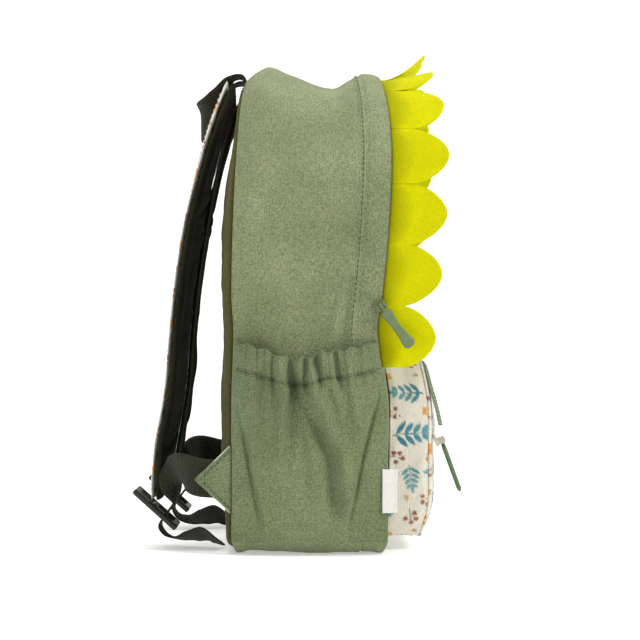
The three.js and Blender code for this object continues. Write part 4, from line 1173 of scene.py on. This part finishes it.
def leaf_inside(x, y, length, width):
    """Millimetres inside an almond leaf that points up: its half width is a power of a sine."""
    t = y / length
    wide = width / 2 * np.sin(math.pi * np.clip(t, 0, 1)) ** 0.8
    return np.where((t > 0) & (t < 1), wide - np.abs(x), -np.hypot(x, np.where(t > 0.5, y - length, y)))


def turned(x, y, degrees):
    """Places as a motif sees them that is turned to the left by so many degrees."""
    sin, cos = math.sin(math.radians(degrees)), math.cos(math.radians(degrees))
    return x * cos + y * sin, -x * sin + y * cos


def motif_inside(kind, x, y, size):
    """Millimetres inside a motif, negative outside it, at places x, y from its middle.

    A spray is a stem with four pairs of leaves and one at its tip, berries are four discs on a bent stalk,
    a flower is five discs round its middle, and seeds are three small leaves in a fan.
    """
    parts = []
    if kind == "spray":
        parts.append(size * 0.018 - np.abs(x) - 1e3 * (np.abs(y) > size * 0.45))
        for k in range(4):
            foot = size * (-0.36 + 0.2 * k)
            for turn in (-52, 52):
                parts.append(leaf_inside(*turned(x, y - foot, turn), size * (0.42 - 0.06 * k), size * 0.13))
        parts.append(leaf_inside(x, y - size * 0.3, size * 0.3, size * 0.13))
    if kind == "berries":
        parts.append(size * 0.025 - np.abs(x - 0.004 * y * y) - 1e3 * ((y > size * 0.2) | (y < -size * 0.5)))
        for dx, dy in ((0, 0.32), (-0.26, 0.1), (0.27, 0.02), (-0.2, -0.2)):
            parts.append(size * 0.13 - np.hypot(x - dx * size, y - dy * size))
    if kind == "flower":
        for k in range(5):
            turn = 2 * math.pi * k / 5
            dx, dy = 0.27 * size * math.cos(turn), 0.27 * size * math.sin(turn)
            parts.append(size * 0.2 - np.hypot(x - dx, y - dy))
    if kind == "seeds":
        for turn, dx in ((-28, -0.3), (0, 0.0), (26, 0.3)):
            parts.append(leaf_inside(*turned(x - dx * size, y + 0.3 * size, turn), size * 0.6, size * 0.2))
    return np.max(parts, axis=0)


def paint_print(u, v, seed, ground):
    """Colours of the printed cloth at places in millimetres: motifs in a half-drop repeat.

    Each copy is moved and turned a little at random. Its ink fades over half a millimetre at its edge, and
    goes from its dark to its light tone along the motif.
    """
    colour = np.broadcast_to(ground, (*u.shape, 3)).copy()
    wide, high = PRINT_CELL
    for column in range(int(u.min() // wide) - 1, int(u.max() // wide) + 2):
        for row in range(int(v.min() // high) - 2, int(v.max() // high) + 2):
            rng = np.random.default_rng(seed * 1009 + (column % 64) * 97 + row % 64)
            for motif in PRINT_MOTIFS:
                nudge = rng.uniform(-2, 2, 2)
                turn = motif["turn"] + rng.uniform(-25, 25)
                x = u - (column + motif["u"]) * wide - nudge[0]
                y = v - (row + motif["v"] + 0.5 * (column % 2)) * high - nudge[1]
                near = np.hypot(x, y) < motif["size"] * 0.8
                if not near.any():
                    continue
                x, y = turned(x[near], y[near], turn)
                ink = smooth(-0.25, 0.35, motif_inside(motif["kind"], x, y, motif["size"]))[:, None]
                tone = smooth(-0.5, 0.5, y / motif["size"] + 0.15 * np.sin(x * 1.7))[:, None]
                shade = linear(motif["dark"]) * (1 - tone) + linear(motif["light"]) * tone
                colour[near] = colour[near] * (1 - ink) + shade * ink
    return colour


# Where the print of the pocket's band starts in its cell
BAND_PRINT_START = 21


class BACKPACK_OT_front_pocket(Piece, bpy.types.Operator):
    """Printed front pocket: a band that stands on the front panel, a domed face and the zip's flap"""
    bl_idname = "backpack.front_pocket"
    bl_label = "Front pocket"

    def make(self, bag, cloths, stitch):
        station, side = both_halves(half_stations((56, 26, 50, 52, 40)), closed=True)
        share = np.linspace(0, 1, 40)[:, None]
        walls = []
        for inset in (0.0, CANVAS):
            x, z, nx, nz = bag.purse.at(station, inset)
            y = bag.purse_root(x, z) * (1 - share) + bag.purse_rim(z) * share
            spot = np.stack(np.broadcast_arrays(x * side, y, z), axis=-1)
            soft = (0.55 * ripple(spot, 30, 51) + 0.3 * ripple(spot, 12, 52)) * smooth(0, 0.15, share)
            soft = (soft - 0.8 * bell(share - 0.52, 0.3)) * (1 - smooth(0.85, 1, share))
            walls.append(np.stack([side * (x + nx * soft), y, z + nz * soft], axis=-1))
        uv = cloth_uv(walls[0])
        colour = paint_print(uv[..., 0], uv[..., 1] + BAND_PRINT_START, 5, cloths.print_ground)
        cloth_wall("printed pocket band", *walls, cloths.print, closed=True, uv=uv, colour=colour,
                   replaces=["front_pocket"])
        levels = np.concatenate(
            [np.linspace(1, 2, 26)[:-1], np.linspace(2, 3, 42)[:-1], np.linspace(3, 4, 50)])
        x, z, across, up = panel_grid(bag.purse, levels, 0.0, 180)
        spot = np.stack([x, 0 * x, z], axis=-1)
        edge = np.minimum(1 - np.abs(across), 1 - np.abs(up))
        soft = (0.7 * ripple(spot, 44, 53) + 0.3 * ripple(spot, 16, 54)) * smooth(0, 0.2, edge)
        face = np.stack([x, bag.purse_face(z, across, up) + np.maximum(soft, -1.6), z], axis=-1)
        colour = paint_print(x, z, 8, cloths.print_ground)
        cloth_wall("printed pocket face", face, face + [0, CANVAS, 0], cloths.print, uv=cloth_uv(face),
                   colour=colour, replaces=["front_pocket_face"])
        make_flap(bag, cloths, stitch)


# The flap's ends stand off the pocket's face by FLAP_LIFT, which fades out over FLAP_FREE above them.
# Its last column lies FLAP_MARGIN above their height, and its stitches FLAP_HEM inside its edge.
FLAP_WIDTH = 9.0
FLAP_INSET = 1.0
FLAP_LIFT = 6.0
FLAP_FREE = 36.0
FLAP_END_HEIGHT = 78.0
FLAP_MARGIN = 6
FLAP_HEM = 2.2


def flap_point(bag, station, side, inset, out):
    """A point of the flap, just before the pocket's face, at an inset from the face's outline."""
    x, z, _, _ = bag.purse.at(station, inset)
    top = bag.purse.foot + bag.purse.height
    across = np.minimum(x / bag.purse.half_width_at(np.minimum(z, top - GAP)), 1)
    up = 2 * (z - bag.purse.foot) / bag.purse.height - 1
    free = np.maximum(1 - (z - FLAP_END_HEIGHT) / FLAP_FREE, 0)
    y = bag.purse_face(z, across, up) - GAP - out - FLAP_LIFT * free ** 1.5
    return np.stack([side * x, y, z], axis=-1)


def make_flap(bag, cloths, stitch):
    """The sage strip that covers the pocket's zip, and the stitches along its outer edge."""
    start = float(bag.purse.station_at_height(FLAP_END_HEIGHT + FLAP_MARGIN))
    station, side = both_halves(half_stations((0, 0, 60, 60, 50), start))
    share = np.linspace(0, 1, 15)[:, None]
    inset = FLAP_INSET + FLAP_WIDTH * (1 - share)
    relief = 0.5 * bell(share - 0.5, 0.35)
    outer, inner = (flap_point(bag, *np.broadcast_arrays(station, side, inset), out)
                    for out in (ZIP_TAPE + relief, 0.0))
    cloth_wall("pocket zip flap", outer, inner, cloths.tape, uv=cloth_uv(outer), replaces=["pocket_zip"])
    line = flap_point(bag, station, side, FLAP_INSET + FLAP_HEM, ZIP_TAPE + 0.25)
    stitched("flap stitches", line, np.tile([0.0, -1.0, 0.0], (len(line), 1)), cloths.thread, stitch * 0.9)


LABEL_HEIGHT = 28.0
LABEL_WIDTH = 10.0
LABEL_THICKNESS = 1.0
LABEL_FOOT = 28.7
LABEL_TILT = 1.3
# The share of the label that lies behind the seam
LABEL_SEAM = 0.35


class BACKPACK_OT_label(Piece, bpy.types.Operator):
    """Blank woven label sewn into the side seam by its rear edge"""
    bl_idname = "backpack.label"
    bl_label = "Blank label"

    def make(self, bag, cloths, stitch):
        height = np.linspace(0, 1, 60)[:, None]
        share = np.linspace(0, 1, 24)[None, :]
        station = bag.front.station_at_height(LABEL_FOOT + LABEL_HEIGHT * height)
        bow = 0.35 * np.sin(math.pi * height) * share + 0.25 * np.sin(2 * math.pi * share)
        out = SEAM_CLEARANCE + CANVAS + GAP + LABEL_TILT * (1 - share) + bow
        outer, inner = (bag.seam_point(station, -1, out + by, LABEL_WIDTH * (share - LABEL_SEAM))
                        for by in (LABEL_THICKNESS, 0.2))
        cloth_wall("blank woven label", outer, inner, cloths.ribbon, uv=cloth_uv(outer),
                   replaces=["side_label"])


# A strap from the arch down: places in millimetres, width as a share, and turn about the height in degrees
STRAP = {
    "x": (58, 59, 60, 62, 63, 64, 65, 66, 67, 67),
    "y": (54.5, 64, 72, 80.5, 86, 90, 93.5, 99.5, 102.5, 104.5),
    "z": (313, 287, 256, 217, 182, 145, 104, 70, 48, 34),
    "width": (0.9, 0.98, 1, 1, 1, 0.98, 0.92, 0.84, 0.78, 0.72),
    "turn": (0, 1, 4, 8, 8, 8, 9, 11, 8, 2),
}
# Webbing from its tab through the buckle to its tail: x, y and z in millimetres, and the way across its width
WEBBING = (
    (116.1, 59, 50, (0, 0, 1)), (116, 72, 51, (0, 0, 1)), (110, 82, 54, (0.15, 0.1, 1)),
    (97, 87.5, 53, (0.5, 0.2, 0.8)), (83, 89, 45, (0.85, 0.1, 0.45)), (71, 90.5, 33.5, (1, 0, 0)),
    (67, 97.5, 22.5, (1, 0, 0)), (67, 101.5, 15.5, (1, 0, 0)), (67, 97.5, 9, (1, 0, 0.05)),
    (68.5, 89, 6.5, (1, 0, 0.15)), (71, 80, 8, (0.95, 0.1, 0.35)), (75, 70, 9.5, (0.9, 0.1, 0.45)),
    (79, 61.5, 6, (0.95, 0.1, 0.25)),
)
# Half of the carrying loop, from its sewn end to its middle, in the same form
LOOP = (
    (22, 44.5, 317.6, (1, 0, 0)), (22, 47.5, 323, (1, 0, 0)), (22.5, 55, 322, (1, 0.1, 0)),
    (21, 63, 311, (0.85, 0.2, 0.5)), (15, 70.5, 299, (0.4, 0.1, 0.9)), (8, 75, 293, (0.1, 0.05, 1)),
    (0, 76.5, 291, (0, 0, 1)),
)


def strap_rows():
    """The rows of STRAP as the curve reads them."""
    rows = []
    for x, y, z, width, turn in zip(*STRAP.values()):
        turn = math.radians(turn)
        rows.append({"x": x, "y": y, "z": z, "width": width, "across": (math.cos(turn), math.sin(turn), 0)})
    return rows


def band_rows(table):
    """The rows of a band's table as the curve reads them."""
    return [{"x": x, "y": y, "z": z, "across": across} for x, y, z, across in table]


def loft(name, rings, material, uv=None, colour=None, **place):
    """A tube through rings with an even number of points each, its two ends closed by ladders of quads."""
    count, around = rings.shape[:2]
    k = np.arange(around // 2 - 1)
    cap = np.stack([k, k + 1, around - 2 - k, around - 1 - k], axis=-1)
    last = (count - 1) * around
    faces = np.concatenate([grid_faces(count, around, closed=True), cap, cap[:, ::-1] + last])
    return new_piece(name, rings, faces, material, uv=uv, colour=colour, **place)


def strap_ring(points, low, high, squareness):
    """Places round a superellipse: across from -1 to 1, and heights from low to high.

    Those across are spaced by a sine, so that they lie closer towards the edges.
    """
    w = np.sin(np.linspace(1, -1, points // 2 + 1) * math.pi / 2)
    h = np.maximum(1 - np.abs(w) ** squareness, 0) ** (1 / squareness)
    w, h = np.concatenate([w[:-1], w[:0:-1]]), np.concatenate([h[:-1], -h[:0:-1]])
    return w, low + (high - low) * (h + 1) / 2


# A strap's sewn end is cut to the slope of the arch, by so much at its outer corner and over this length
ARCH_CUT = 11
ARCH_CUT_LENGTH = 34
# The printed cover is thinner by COVER_THINNED from the second length on
COVER_THINNED = 0.4
COVER_THINS = (40, 110)
COVER_SHARE = 0.97
# Slanting creases of the strap's padding: length from the sewn end, rise and half width
PADDING_CREASES = ((88, -1.2, 3.0), (96, -0.8, 2.5), (104, -0.7, 3.0), (170, -0.6, 4), (246, -1.5, 3.5))


def follow_arch(points, length, outwards):
    """Lowers the points of the strap's sewn end the more, the nearer to its outer corner they are."""
    points = points.copy()
    points[..., 2] -= ARCH_CUT * (1 - smooth(0, ARCH_CUT_LENGTH, length)) * smooth(-0.6, 1.2, outwards)
    return points


def strap_loft(rows, side, ring, width, thickness, steps, relief, thin=0.0):
    """Rings of a strap's section along its middle line, less high at both ends, and its UV.

    relief gives the height added to both faces, and thin the share of height lost below the strap's top.
    """
    line, wide, normal, share, length = ribbon_frame(rows, steps, side)
    w, h = ring
    end = np.minimum(smooth(-0.2, 4, length), smooth(-0.2, 4, length[-1] - length))[:, None, None]
    height = h[None, :, None] * thickness
    middle = (h.min() + h.max()) / 2 * thickness
    height = middle + (height - middle) * (0.45 + 0.55 * end)
    height = height * (1 - thin * smooth(*COVER_THINS, length))[:, None, None]
    half = (w[None, :] * share[:, None] * width / 2)[..., None]
    points = line[:, None] + wide[:, None] * half + normal[:, None] * height
    away = np.sign(h - (h.min() + h.max()) / 2)[None, :, None]
    points = points + normal[:, None] * away * relief(points, length, w)[..., None] * end
    points = follow_arch(points, length[:, None], side * w[None, :])
    uv = np.stack(np.broadcast_arrays(length[:, None], w[None, :] * width / 2), axis=-1)
    return points, uv


def padding_relief(points, length, w):
    """Relief of the padded lining: slanting creases and soft noise between two sunk welts."""
    creases = 0
    for at, rise, wide in PADDING_CREASES:
        slant = at + 5 * w[None, :] + 2 * np.sin(3 * w[None, :] + at)
        creases = creases + rise * bell(length[:, None] - slant, wide)
    inside = 1 - smooth(0.72, 1, np.abs(w))[None, :]
    welt = -1.5 * bell(np.abs(w) - 0.84, 0.05)[None, :]
    return (creases + 0.5 * ripple(points, 24, 61)) * inside + welt


def cover_relief(points, length, w):
    """Relief of the printed cover: low soft noise away from its edges."""
    return 0.35 * ripple(points, 20, 62) * (1 - smooth(0.8, 1, np.abs(w)))[None, :]


class BACKPACK_OT_straps(Piece, bpy.types.Operator):
    """Shoulder straps: a printed cover outside, and a padded lining against the wearer"""
    bl_idname = "backpack.straps"
    bl_label = "Shoulder straps"

    def make(self, bag, cloths, stitch):
        rows = strap_rows()
        for side, hand in ((-1, "left"), (1, "right")):
            ring = strap_ring(64, -1.0, -0.06, 3.2)
            points, uv = strap_loft(rows, side, ring, STRAP_WIDTH, LINING_THICKNESS, 230, padding_relief)
            lining = loft(f"padded strap lining {hand}", points, cloths.lining, uv=uv,
                          replaces=[f"strap_lining_{hand}"])
            ring = strap_ring(108, 0.14, 1.0, 3.2)
            points, uv = strap_loft(rows, side, ring, STRAP_WIDTH * COVER_SHARE, COVER_THICKNESS, 250,
                                    cover_relief, thin=COVER_THINNED)
            colour = paint_print(uv[..., 1] + 30 * side, uv[..., 0], 12 + side, cloths.print_ground)
            loft(f"printed strap cover {hand}", points, cloths.print, uv=uv, colour=colour,
                 replaces=[f"strap_cover_{hand}"])
            line, wide, normal, share, length = ribbon_frame(rows, 900, side)
            for edge in (-1, 1):
                top = COVER_THICKNESS * (0.985 - COVER_THINNED * smooth(*COVER_THINS, length)) - 0.2
                out = edge * share * STRAP_WIDTH / 2 * 0.86
                seam = line + wide * out[:, None] + normal * top[:, None]
                seam = follow_arch(seam, length, edge * side)
                stitched(f"strap stitches {hand} {edge}", seam[30:-30], normal[30:-30],
                         cloths.pale_thread, stitch)


class BACKPACK_OT_webbing(Piece, bpy.types.Operator):
    """Strap webbing through the buckles, and the carrying loop at the top"""
    bl_idname = "backpack.webbing"
    bl_label = "Webbing and carrying loop"

    def make(self, bag, cloths, stitch):
        for side, hand in ((-1, "left"), (1, "right")):
            band(f"strap webbing {hand}", band_rows(WEBBING), WEBBING_WIDTH, WEBBING_THICKNESS,
                 cloths.webbing, steps=320, side=side, replaces=[f"webbing_{hand}"])
        back = tuple((-x, y, z, (-a, b, c)) for x, y, z, (a, b, c) in LOOP[-2::-1])
        band("carrying loop", band_rows(LOOP + back), LOOP_WIDTH, LOOP_THICKNESS, cloths.webbing,
             steps=240, replaces=["haul_loop"])


TAB_LENGTH = 23.0
TAB_HEIGHT = 45.0
TAB_THICKNESS = 2.4
TAB_MIDDLE = 50.0
TAB_HEM = 3.2


class BACKPACK_OT_tabs(Piece, bpy.types.Operator):
    """Folded canvas tabs that hold the webbing at the back edge of the sides"""
    bl_idname = "backpack.tabs"
    bl_label = "Strap tabs"

    def make(self, bag, cloths, stitch):
        foot = bag.depth / 2 + GAP + 0.3
        along = np.linspace(0, 1, 36)[:, None]
        across = np.linspace(-1, 1, 49)[None, :]
        narrow = np.maximum(1 - along, 0.0) ** 0.96 + 0.05 * smooth(0.6, 1, along)
        y = foot + TAB_LENGTH * along
        z = TAB_MIDDLE + across * TAB_HEIGHT / 2 * np.minimum(narrow, 1)
        puff = 0.35 * (1 - across ** 6) * smooth(0, 0.1, along) + 0.15 * np.sin(7 * along + 3 * across)
        seam = 0.5 * bell((1 - np.abs(across)) * TAB_HEIGHT / 2 * narrow - TAB_HEM, 0.8)
        outer_x, inner_x = bag.width / 2, bag.width / 2 - TAB_THICKNESS
        for side, hand in ((-1, "left"), (1, "right")):
            outer = np.stack(np.broadcast_arrays(side * (outer_x - 0.4 + puff - seam), y, z), axis=-1)
            inner = np.stack(np.broadcast_arrays(side * inner_x, y, z), axis=-1)
            cloth_wall(f"canvas tab {hand}", outer, inner, cloths.pocket, uv=cloth_uv(outer), bulge=0.6,
                       replaces=[f"strap_tab_{hand}"])
            for edge in (-1, 1):
                share = np.linspace(0.04, 0.80, 60)
                height = TAB_HEIGHT / 2 * (1 - share) - TAB_HEM
                line = np.stack([np.full(60, side * (outer_x - 0.15)), foot + TAB_LENGTH * share,
                                 TAB_MIDDLE + edge * height], axis=-1)
                stitched(f"tab stitches {hand} {edge}", line, np.tile([float(side), 0, 0], (60, 1)),
                         cloths.thread, stitch * 0.8)
                pale = line * [0, 1, 1] + [side * (outer_x - TAB_THICKNESS / 2), 0, edge * (TAB_HEM - 0.1)]
                raw_edge(f"raw edge {hand} {edge}", pale, np.array([0.0, 0.35, edge]), cloths.pale_thread)


def raw_edge(name, line, out, material):
    """A thin pale roll along a cut edge of cloth: rings of eight points round the line."""
    out = out / np.linalg.norm(out)
    angle = np.arange(8) * math.pi / 4
    ring = np.cos(angle)[:, None] * [0.9, 0, 0] + np.sin(angle)[:, None] * out * 0.55
    loft(name, line[:, None] + ring[None], material)


# Each pull's pin in millimetres, its lean in degrees, and whether its broad face looks forward
PULLS = (
    dict(body="main_pull", node="main_zip_pull", pin=(-124.50, -46.24, 163.0), lean=37, flat=False,
         length=33.0, width=8.0, rubber="sage_rubber"),
    dict(body="pocket_pull", node="pocket_zip_pull", pin=(-90.50, -87.37, 74.0), lean=20, flat=True,
         length=36.0, width=10.0, rubber="green_rubber"),
)
PULL_THICKNESS = 3.0
PULL_RING = 2.5
PULL_TIP = 3.0
NECK_HALF_WIDTH = 1.3
LOOP_RADIUS = 1.9
LOOP_PIPE = 0.55


def pull_rings(length, width):
    """Rings of a pull's rounded bar: wide at both ends, waisted by a power of a sine, thin at its neck."""
    at = np.concatenate([
        [PULL_RING - 0.5], np.linspace(PULL_RING, PULL_RING + 3, 10), np.linspace(6, length - PULL_TIP, 40),
        length - PULL_TIP + PULL_TIP * np.sin(np.linspace(0.06, 0.995, 14) * math.pi / 2)])
    neck = smooth(PULL_RING + 0.6, PULL_RING + 2.6, at)
    tip = np.sqrt(np.clip(1 - ((at - length + PULL_TIP) / PULL_TIP).clip(0) ** 2.4, 0.0, 1))
    waist = 1 - 0.30 * np.sin(math.pi * np.clip((at - 4) / (length - 7), 0, 1)) ** 1.4
    half = (NECK_HALF_WIDTH + (width / 2 * waist - NECK_HALF_WIDTH) * neck) * (0.12 + 0.88 * tip)
    thick = (PULL_THICKNESS / 2) * (0.8 + 0.2 * neck) * (0.3 + 0.7 * tip)
    w, h = strap_ring(28, -1.0, 1.0, 3.6)
    return np.stack(np.broadcast_arrays(w * half[:, None], -at[:, None], h * thick[:, None]), axis=-1)


def pull_loop():
    """The loop round the pin: a small ring about the X axis, as wide as the neck, and its faces."""
    turn = np.arange(36)[:, None] / 36 * 2 * math.pi
    angle = np.arange(12)[None, :] / 12 * 2 * math.pi
    out = LOOP_RADIUS + LOOP_PIPE * np.cos(angle)
    across = NECK_HALF_WIDTH * np.sin(angle)
    points = np.stack(np.broadcast_arrays(across, out * np.cos(turn), out * np.sin(turn)), axis=-1)
    wrap = np.arange(12)
    start = 35 * 12
    last = np.stack([start + wrap, start + (wrap + 1) % 12, (wrap + 1) % 12, wrap], axis=-1)
    return points, np.concatenate([grid_faces(36, 12, closed=True), last])


class BACKPACK_OT_pulls(Piece, bpy.types.Operator):
    """Rounded rubber pulls, each on the body that swings from its slider"""
    bl_idname = "backpack.pulls"
    bl_label = "Zip pulls"

    def make(self, bag, cloths, stitch):
        for pull in PULLS:
            lean = math.radians(pull["lean"])
            up = np.array([0, math.sin(lean), math.cos(lean)])
            out = np.array([0, -math.cos(lean), math.sin(lean)]) if pull["flat"] else np.array([-1.0, 0, 0])
            turn = np.stack([np.cross(up, out), up, out])
            place = dict(body=pull["body"], replaces=[pull["node"]])
            rubber = getattr(cloths, pull["rubber"])
            rings = pull_rings(pull["length"], pull["width"]) @ turn + pull["pin"]
            loft(pull["node"] + " bar", rings, rubber, **place)
            points, faces = pull_loop()
            new_piece(pull["node"] + " loop", points @ turn + pull["pin"], faces, rubber, body=pull["body"])


# The buckles' sizes and places in millimetres, their slot behind the first bar and their tilt in degrees
BUCKLE = {
    "width": 34.0, "length": 38.0, "thickness": 4.0, "bar": 4.5, "slot": 14.0,
    "x": 67.0, "y": 104.0, "z": 27.0, "tip": 42,
}
ROD_ROUNDING = 1.6


def rod(start, end, wide, thick):
    """Rings of a straight bar in the buckle's plane, a superellipse in section, rounded off at its ends."""
    start, end = np.array([*start, 0.0]), np.array([*end, 0.0])
    length = np.linalg.norm(end - start)
    way = (end - start) / length
    across = np.array([way[1], -way[0], 0.0])
    curve = np.sin(np.linspace(0, 1, 7) * math.pi / 2)
    at = np.concatenate([curve * ROD_ROUNDING, length - curve[::-1] * ROD_ROUNDING])
    size = np.sqrt(1 - (1 - curve) ** 2) * 0.45 + 0.55
    size = np.concatenate([size, size[::-1]])
    w, h = strap_ring(24, -1.0, 1.0, 3.4)
    return (start + way * at[:, None, None] + across * (w * size[:, None] * wide / 2)[..., None]
            + np.array([0, 0, 1.0]) * (h * size[:, None] * thick / 2)[..., None])


class BACKPACK_OT_buckles(Piece, bpy.types.Operator):
    """Strap adjusters: two side rails and three cross bars with rounded edges"""
    bl_idname = "backpack.buckles"
    bl_label = "Strap adjusters"

    def make(self, bag, cloths, stitch):
        half_width, half_length, bar = BUCKLE["width"] / 2, BUCKLE["length"] / 2, BUCKLE["bar"]
        middle = -half_length + bar * 1.5 + BUCKLE["slot"]
        tip = math.radians(BUCKLE["tip"])
        turn = np.array([[1, 0, 0], [0, math.cos(tip), math.sin(tip)], [0, -math.sin(tip), math.cos(tip)]])
        for side, hand in ((-1, "left"), (1, "right")):
            centre = np.array([side * BUCKLE["x"], BUCKLE["y"], BUCKLE["z"]])
            for end, place in ((-1, "left"), (1, "right")):
                x = end * (half_width - bar / 2)
                rail = rod((x, -half_length), (x, half_length), bar, BUCKLE["thickness"])
                loft(f"buckle rail {hand} {place}", rail @ turn + centre, cloths.acetal,
                     replaces=[f"adjuster_{hand}"])
            for k, y in enumerate((-half_length + bar / 2, middle, half_length - bar / 2)):
                cross = rod((-half_width + 1.2, y), (half_width - 1.2, y), bar, BUCKLE["thickness"] * 0.92)
                loft(f"buckle bar {hand} {k + 1}", cross @ turn + centre, cloths.acetal)


class BACKPACK_OT_sliders(Piece, bpy.types.Operator):
    """Finish of the zip sliders, whose shape is the frame's own"""
    bl_idname = "backpack.sliders"
    bl_label = "Zip sliders"

    def make(self, bag, cloths, stitch):
        for node, material in (("main_zip_slider", cloths.sage_zinc), ("pocket_zip_slider", cloths.zinc)):
            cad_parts[node].data.materials.clear()
            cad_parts[node].data.materials.append(material)


# Stage

def area_light(name, place, aim, size, power, colour=(1, 1, 1)):
    """A round soft light at a place, turned towards another."""
    lamp = bpy.data.lights.new(name, "AREA")
    lamp.shape, lamp.size, lamp.energy, lamp.color = "DISK", size, power, colour
    thing = bpy.data.objects.new(name, lamp)
    bpy.context.scene.collection.objects.link(thing)
    way = Vector(aim) - Vector(place)
    thing.location = place
    thing.rotation_euler = way.to_track_quat("-Z", "Y").to_euler()


def floor_and_backdrop(name, shade, glow):
    """A pale floor that curves up into a backdrop behind the bag, seen from the side."""
    reach, behind, rise, bend = 14.0, 1.2, 6.0, 0.9
    turn = np.linspace(0, math.pi / 2, 24)
    x = np.concatenate([[-reach], behind + bend * np.sin(turn), [behind + bend]])
    z = np.concatenate([[0.0], bend - bend * np.cos(turn), [rise]])
    y = np.array([-reach, reach])
    grid = np.stack(np.broadcast_arrays(x[:, None], y[None, :], z[:, None]), axis=-1)
    mesh = bpy.data.meshes.new(name)
    mesh.from_pydata(grid.reshape(-1, 3).tolist(), [], grid_faces(len(x), 2)[:, ::-1].tolist())
    mesh.polygons.foreach_set("use_smooth", np.ones(len(mesh.polygons), bool))
    material, tree, bsdf = start_material("pale studio paper", shade, 0.9)
    bsdf.inputs["Base Color"].default_value = rgba(shade)
    bsdf.inputs["Emission Color"].default_value = rgba(glow)
    bsdf.inputs["Emission Strength"].default_value = 0.36
    mesh.materials.append(material)
    floor = bpy.data.objects.new(name, mesh)
    bpy.context.scene.collection.objects.link(floor)


class BACKPACK_OT_stage(bpy.types.Operator):
    """Pale floor, soft studio light, and a camera level with the bag that looks at its left side"""
    bl_idname = "backpack.stage"
    bl_label = "Stage"

    def execute(self, context):
        scene = context.scene
        near_side = -scene.backpack.width / 2
        floor_and_backdrop("studio floor", "#f4f4f2", "#ffffff")
        area_light("key light", (-1.1, -1.5, 1.5), (0, 0, 0.16), 0.8, 27, (1.0, 0.99, 0.97))
        area_light("fill light", (-1.6, 1.4, 0.9), (0, 0, 0.16), 1.6, 7, (0.97, 0.98, 1.0))
        area_light("top light", (-0.2, 0.2, 1.9), (0, 0, 0.1), 1.0, 20)
        lens = bpy.data.cameras.new("side camera")
        lens.lens, lens.sensor_width = CAMERA_LENS, 36
        camera = bpy.data.objects.new("side camera", lens)
        camera.location = (near_side - scene.backpack.view_distance, -0.0065, 0.154)
        camera.rotation_euler = (math.pi / 2, 0, -math.pi / 2)
        scene.collection.objects.link(camera)
        scene.camera = camera
        world = bpy.data.worlds.new("studio air")
        world.use_nodes = True
        world.node_tree.nodes["Background"].inputs["Color"].default_value = (1, 1, 1, 1)
        world.node_tree.nodes["Background"].inputs["Strength"].default_value = 0.32
        scene.world = world
        scene.view_settings.view_transform = "Standard"
        return {"FINISHED"}


class BACKPACK_PT_pieces(bpy.types.Panel):
    """Sizes and pieces of the backpack in the 3D view's sidebar"""
    bl_idname = "BACKPACK_PT_pieces"
    bl_label = "Crested backpack"
    bl_space_type = "VIEW_3D"
    bl_region_type = "UI"
    bl_category = "Backpack"

    def draw(self, context):
        for chosen in (context.scene.backpack, context.scene.backpack_colours):
            for name in type(chosen).__annotations__:
                self.layout.prop(chosen, name)
        for step in OPERATORS:
            self.layout.operator(step.bl_idname)


OPERATORS = (
    BACKPACK_OT_gusset, BACKPACK_OT_panels, BACKPACK_OT_main_zip, BACKPACK_OT_crest, BACKPACK_OT_side_pockets,
    BACKPACK_OT_front_pocket, BACKPACK_OT_label, BACKPACK_OT_straps, BACKPACK_OT_webbing, BACKPACK_OT_tabs,
    BACKPACK_OT_pulls, BACKPACK_OT_buckles, BACKPACK_OT_sliders, BACKPACK_OT_stage,
)


def register():
    for one in (BackpackSizes, BackpackColours, *OPERATORS, BACKPACK_PT_pieces):
        bpy.utils.register_class(one)
    bpy.types.Scene.backpack = bpy.props.PointerProperty(type=BackpackSizes)
    bpy.types.Scene.backpack_colours = bpy.props.PointerProperty(type=BackpackColours)


def unregister():
    del bpy.types.Scene.backpack_colours
    del bpy.types.Scene.backpack
    for one in (BACKPACK_PT_pieces, *reversed(OPERATORS), BackpackColours, BackpackSizes):
        bpy.utils.unregister_class(one)


def main():
    register()
    for step in OPERATORS:
        group, name = step.bl_idname.split(".")
        getattr(getattr(bpy.ops, group), name)()


if __name__ == "__main__":
    main()
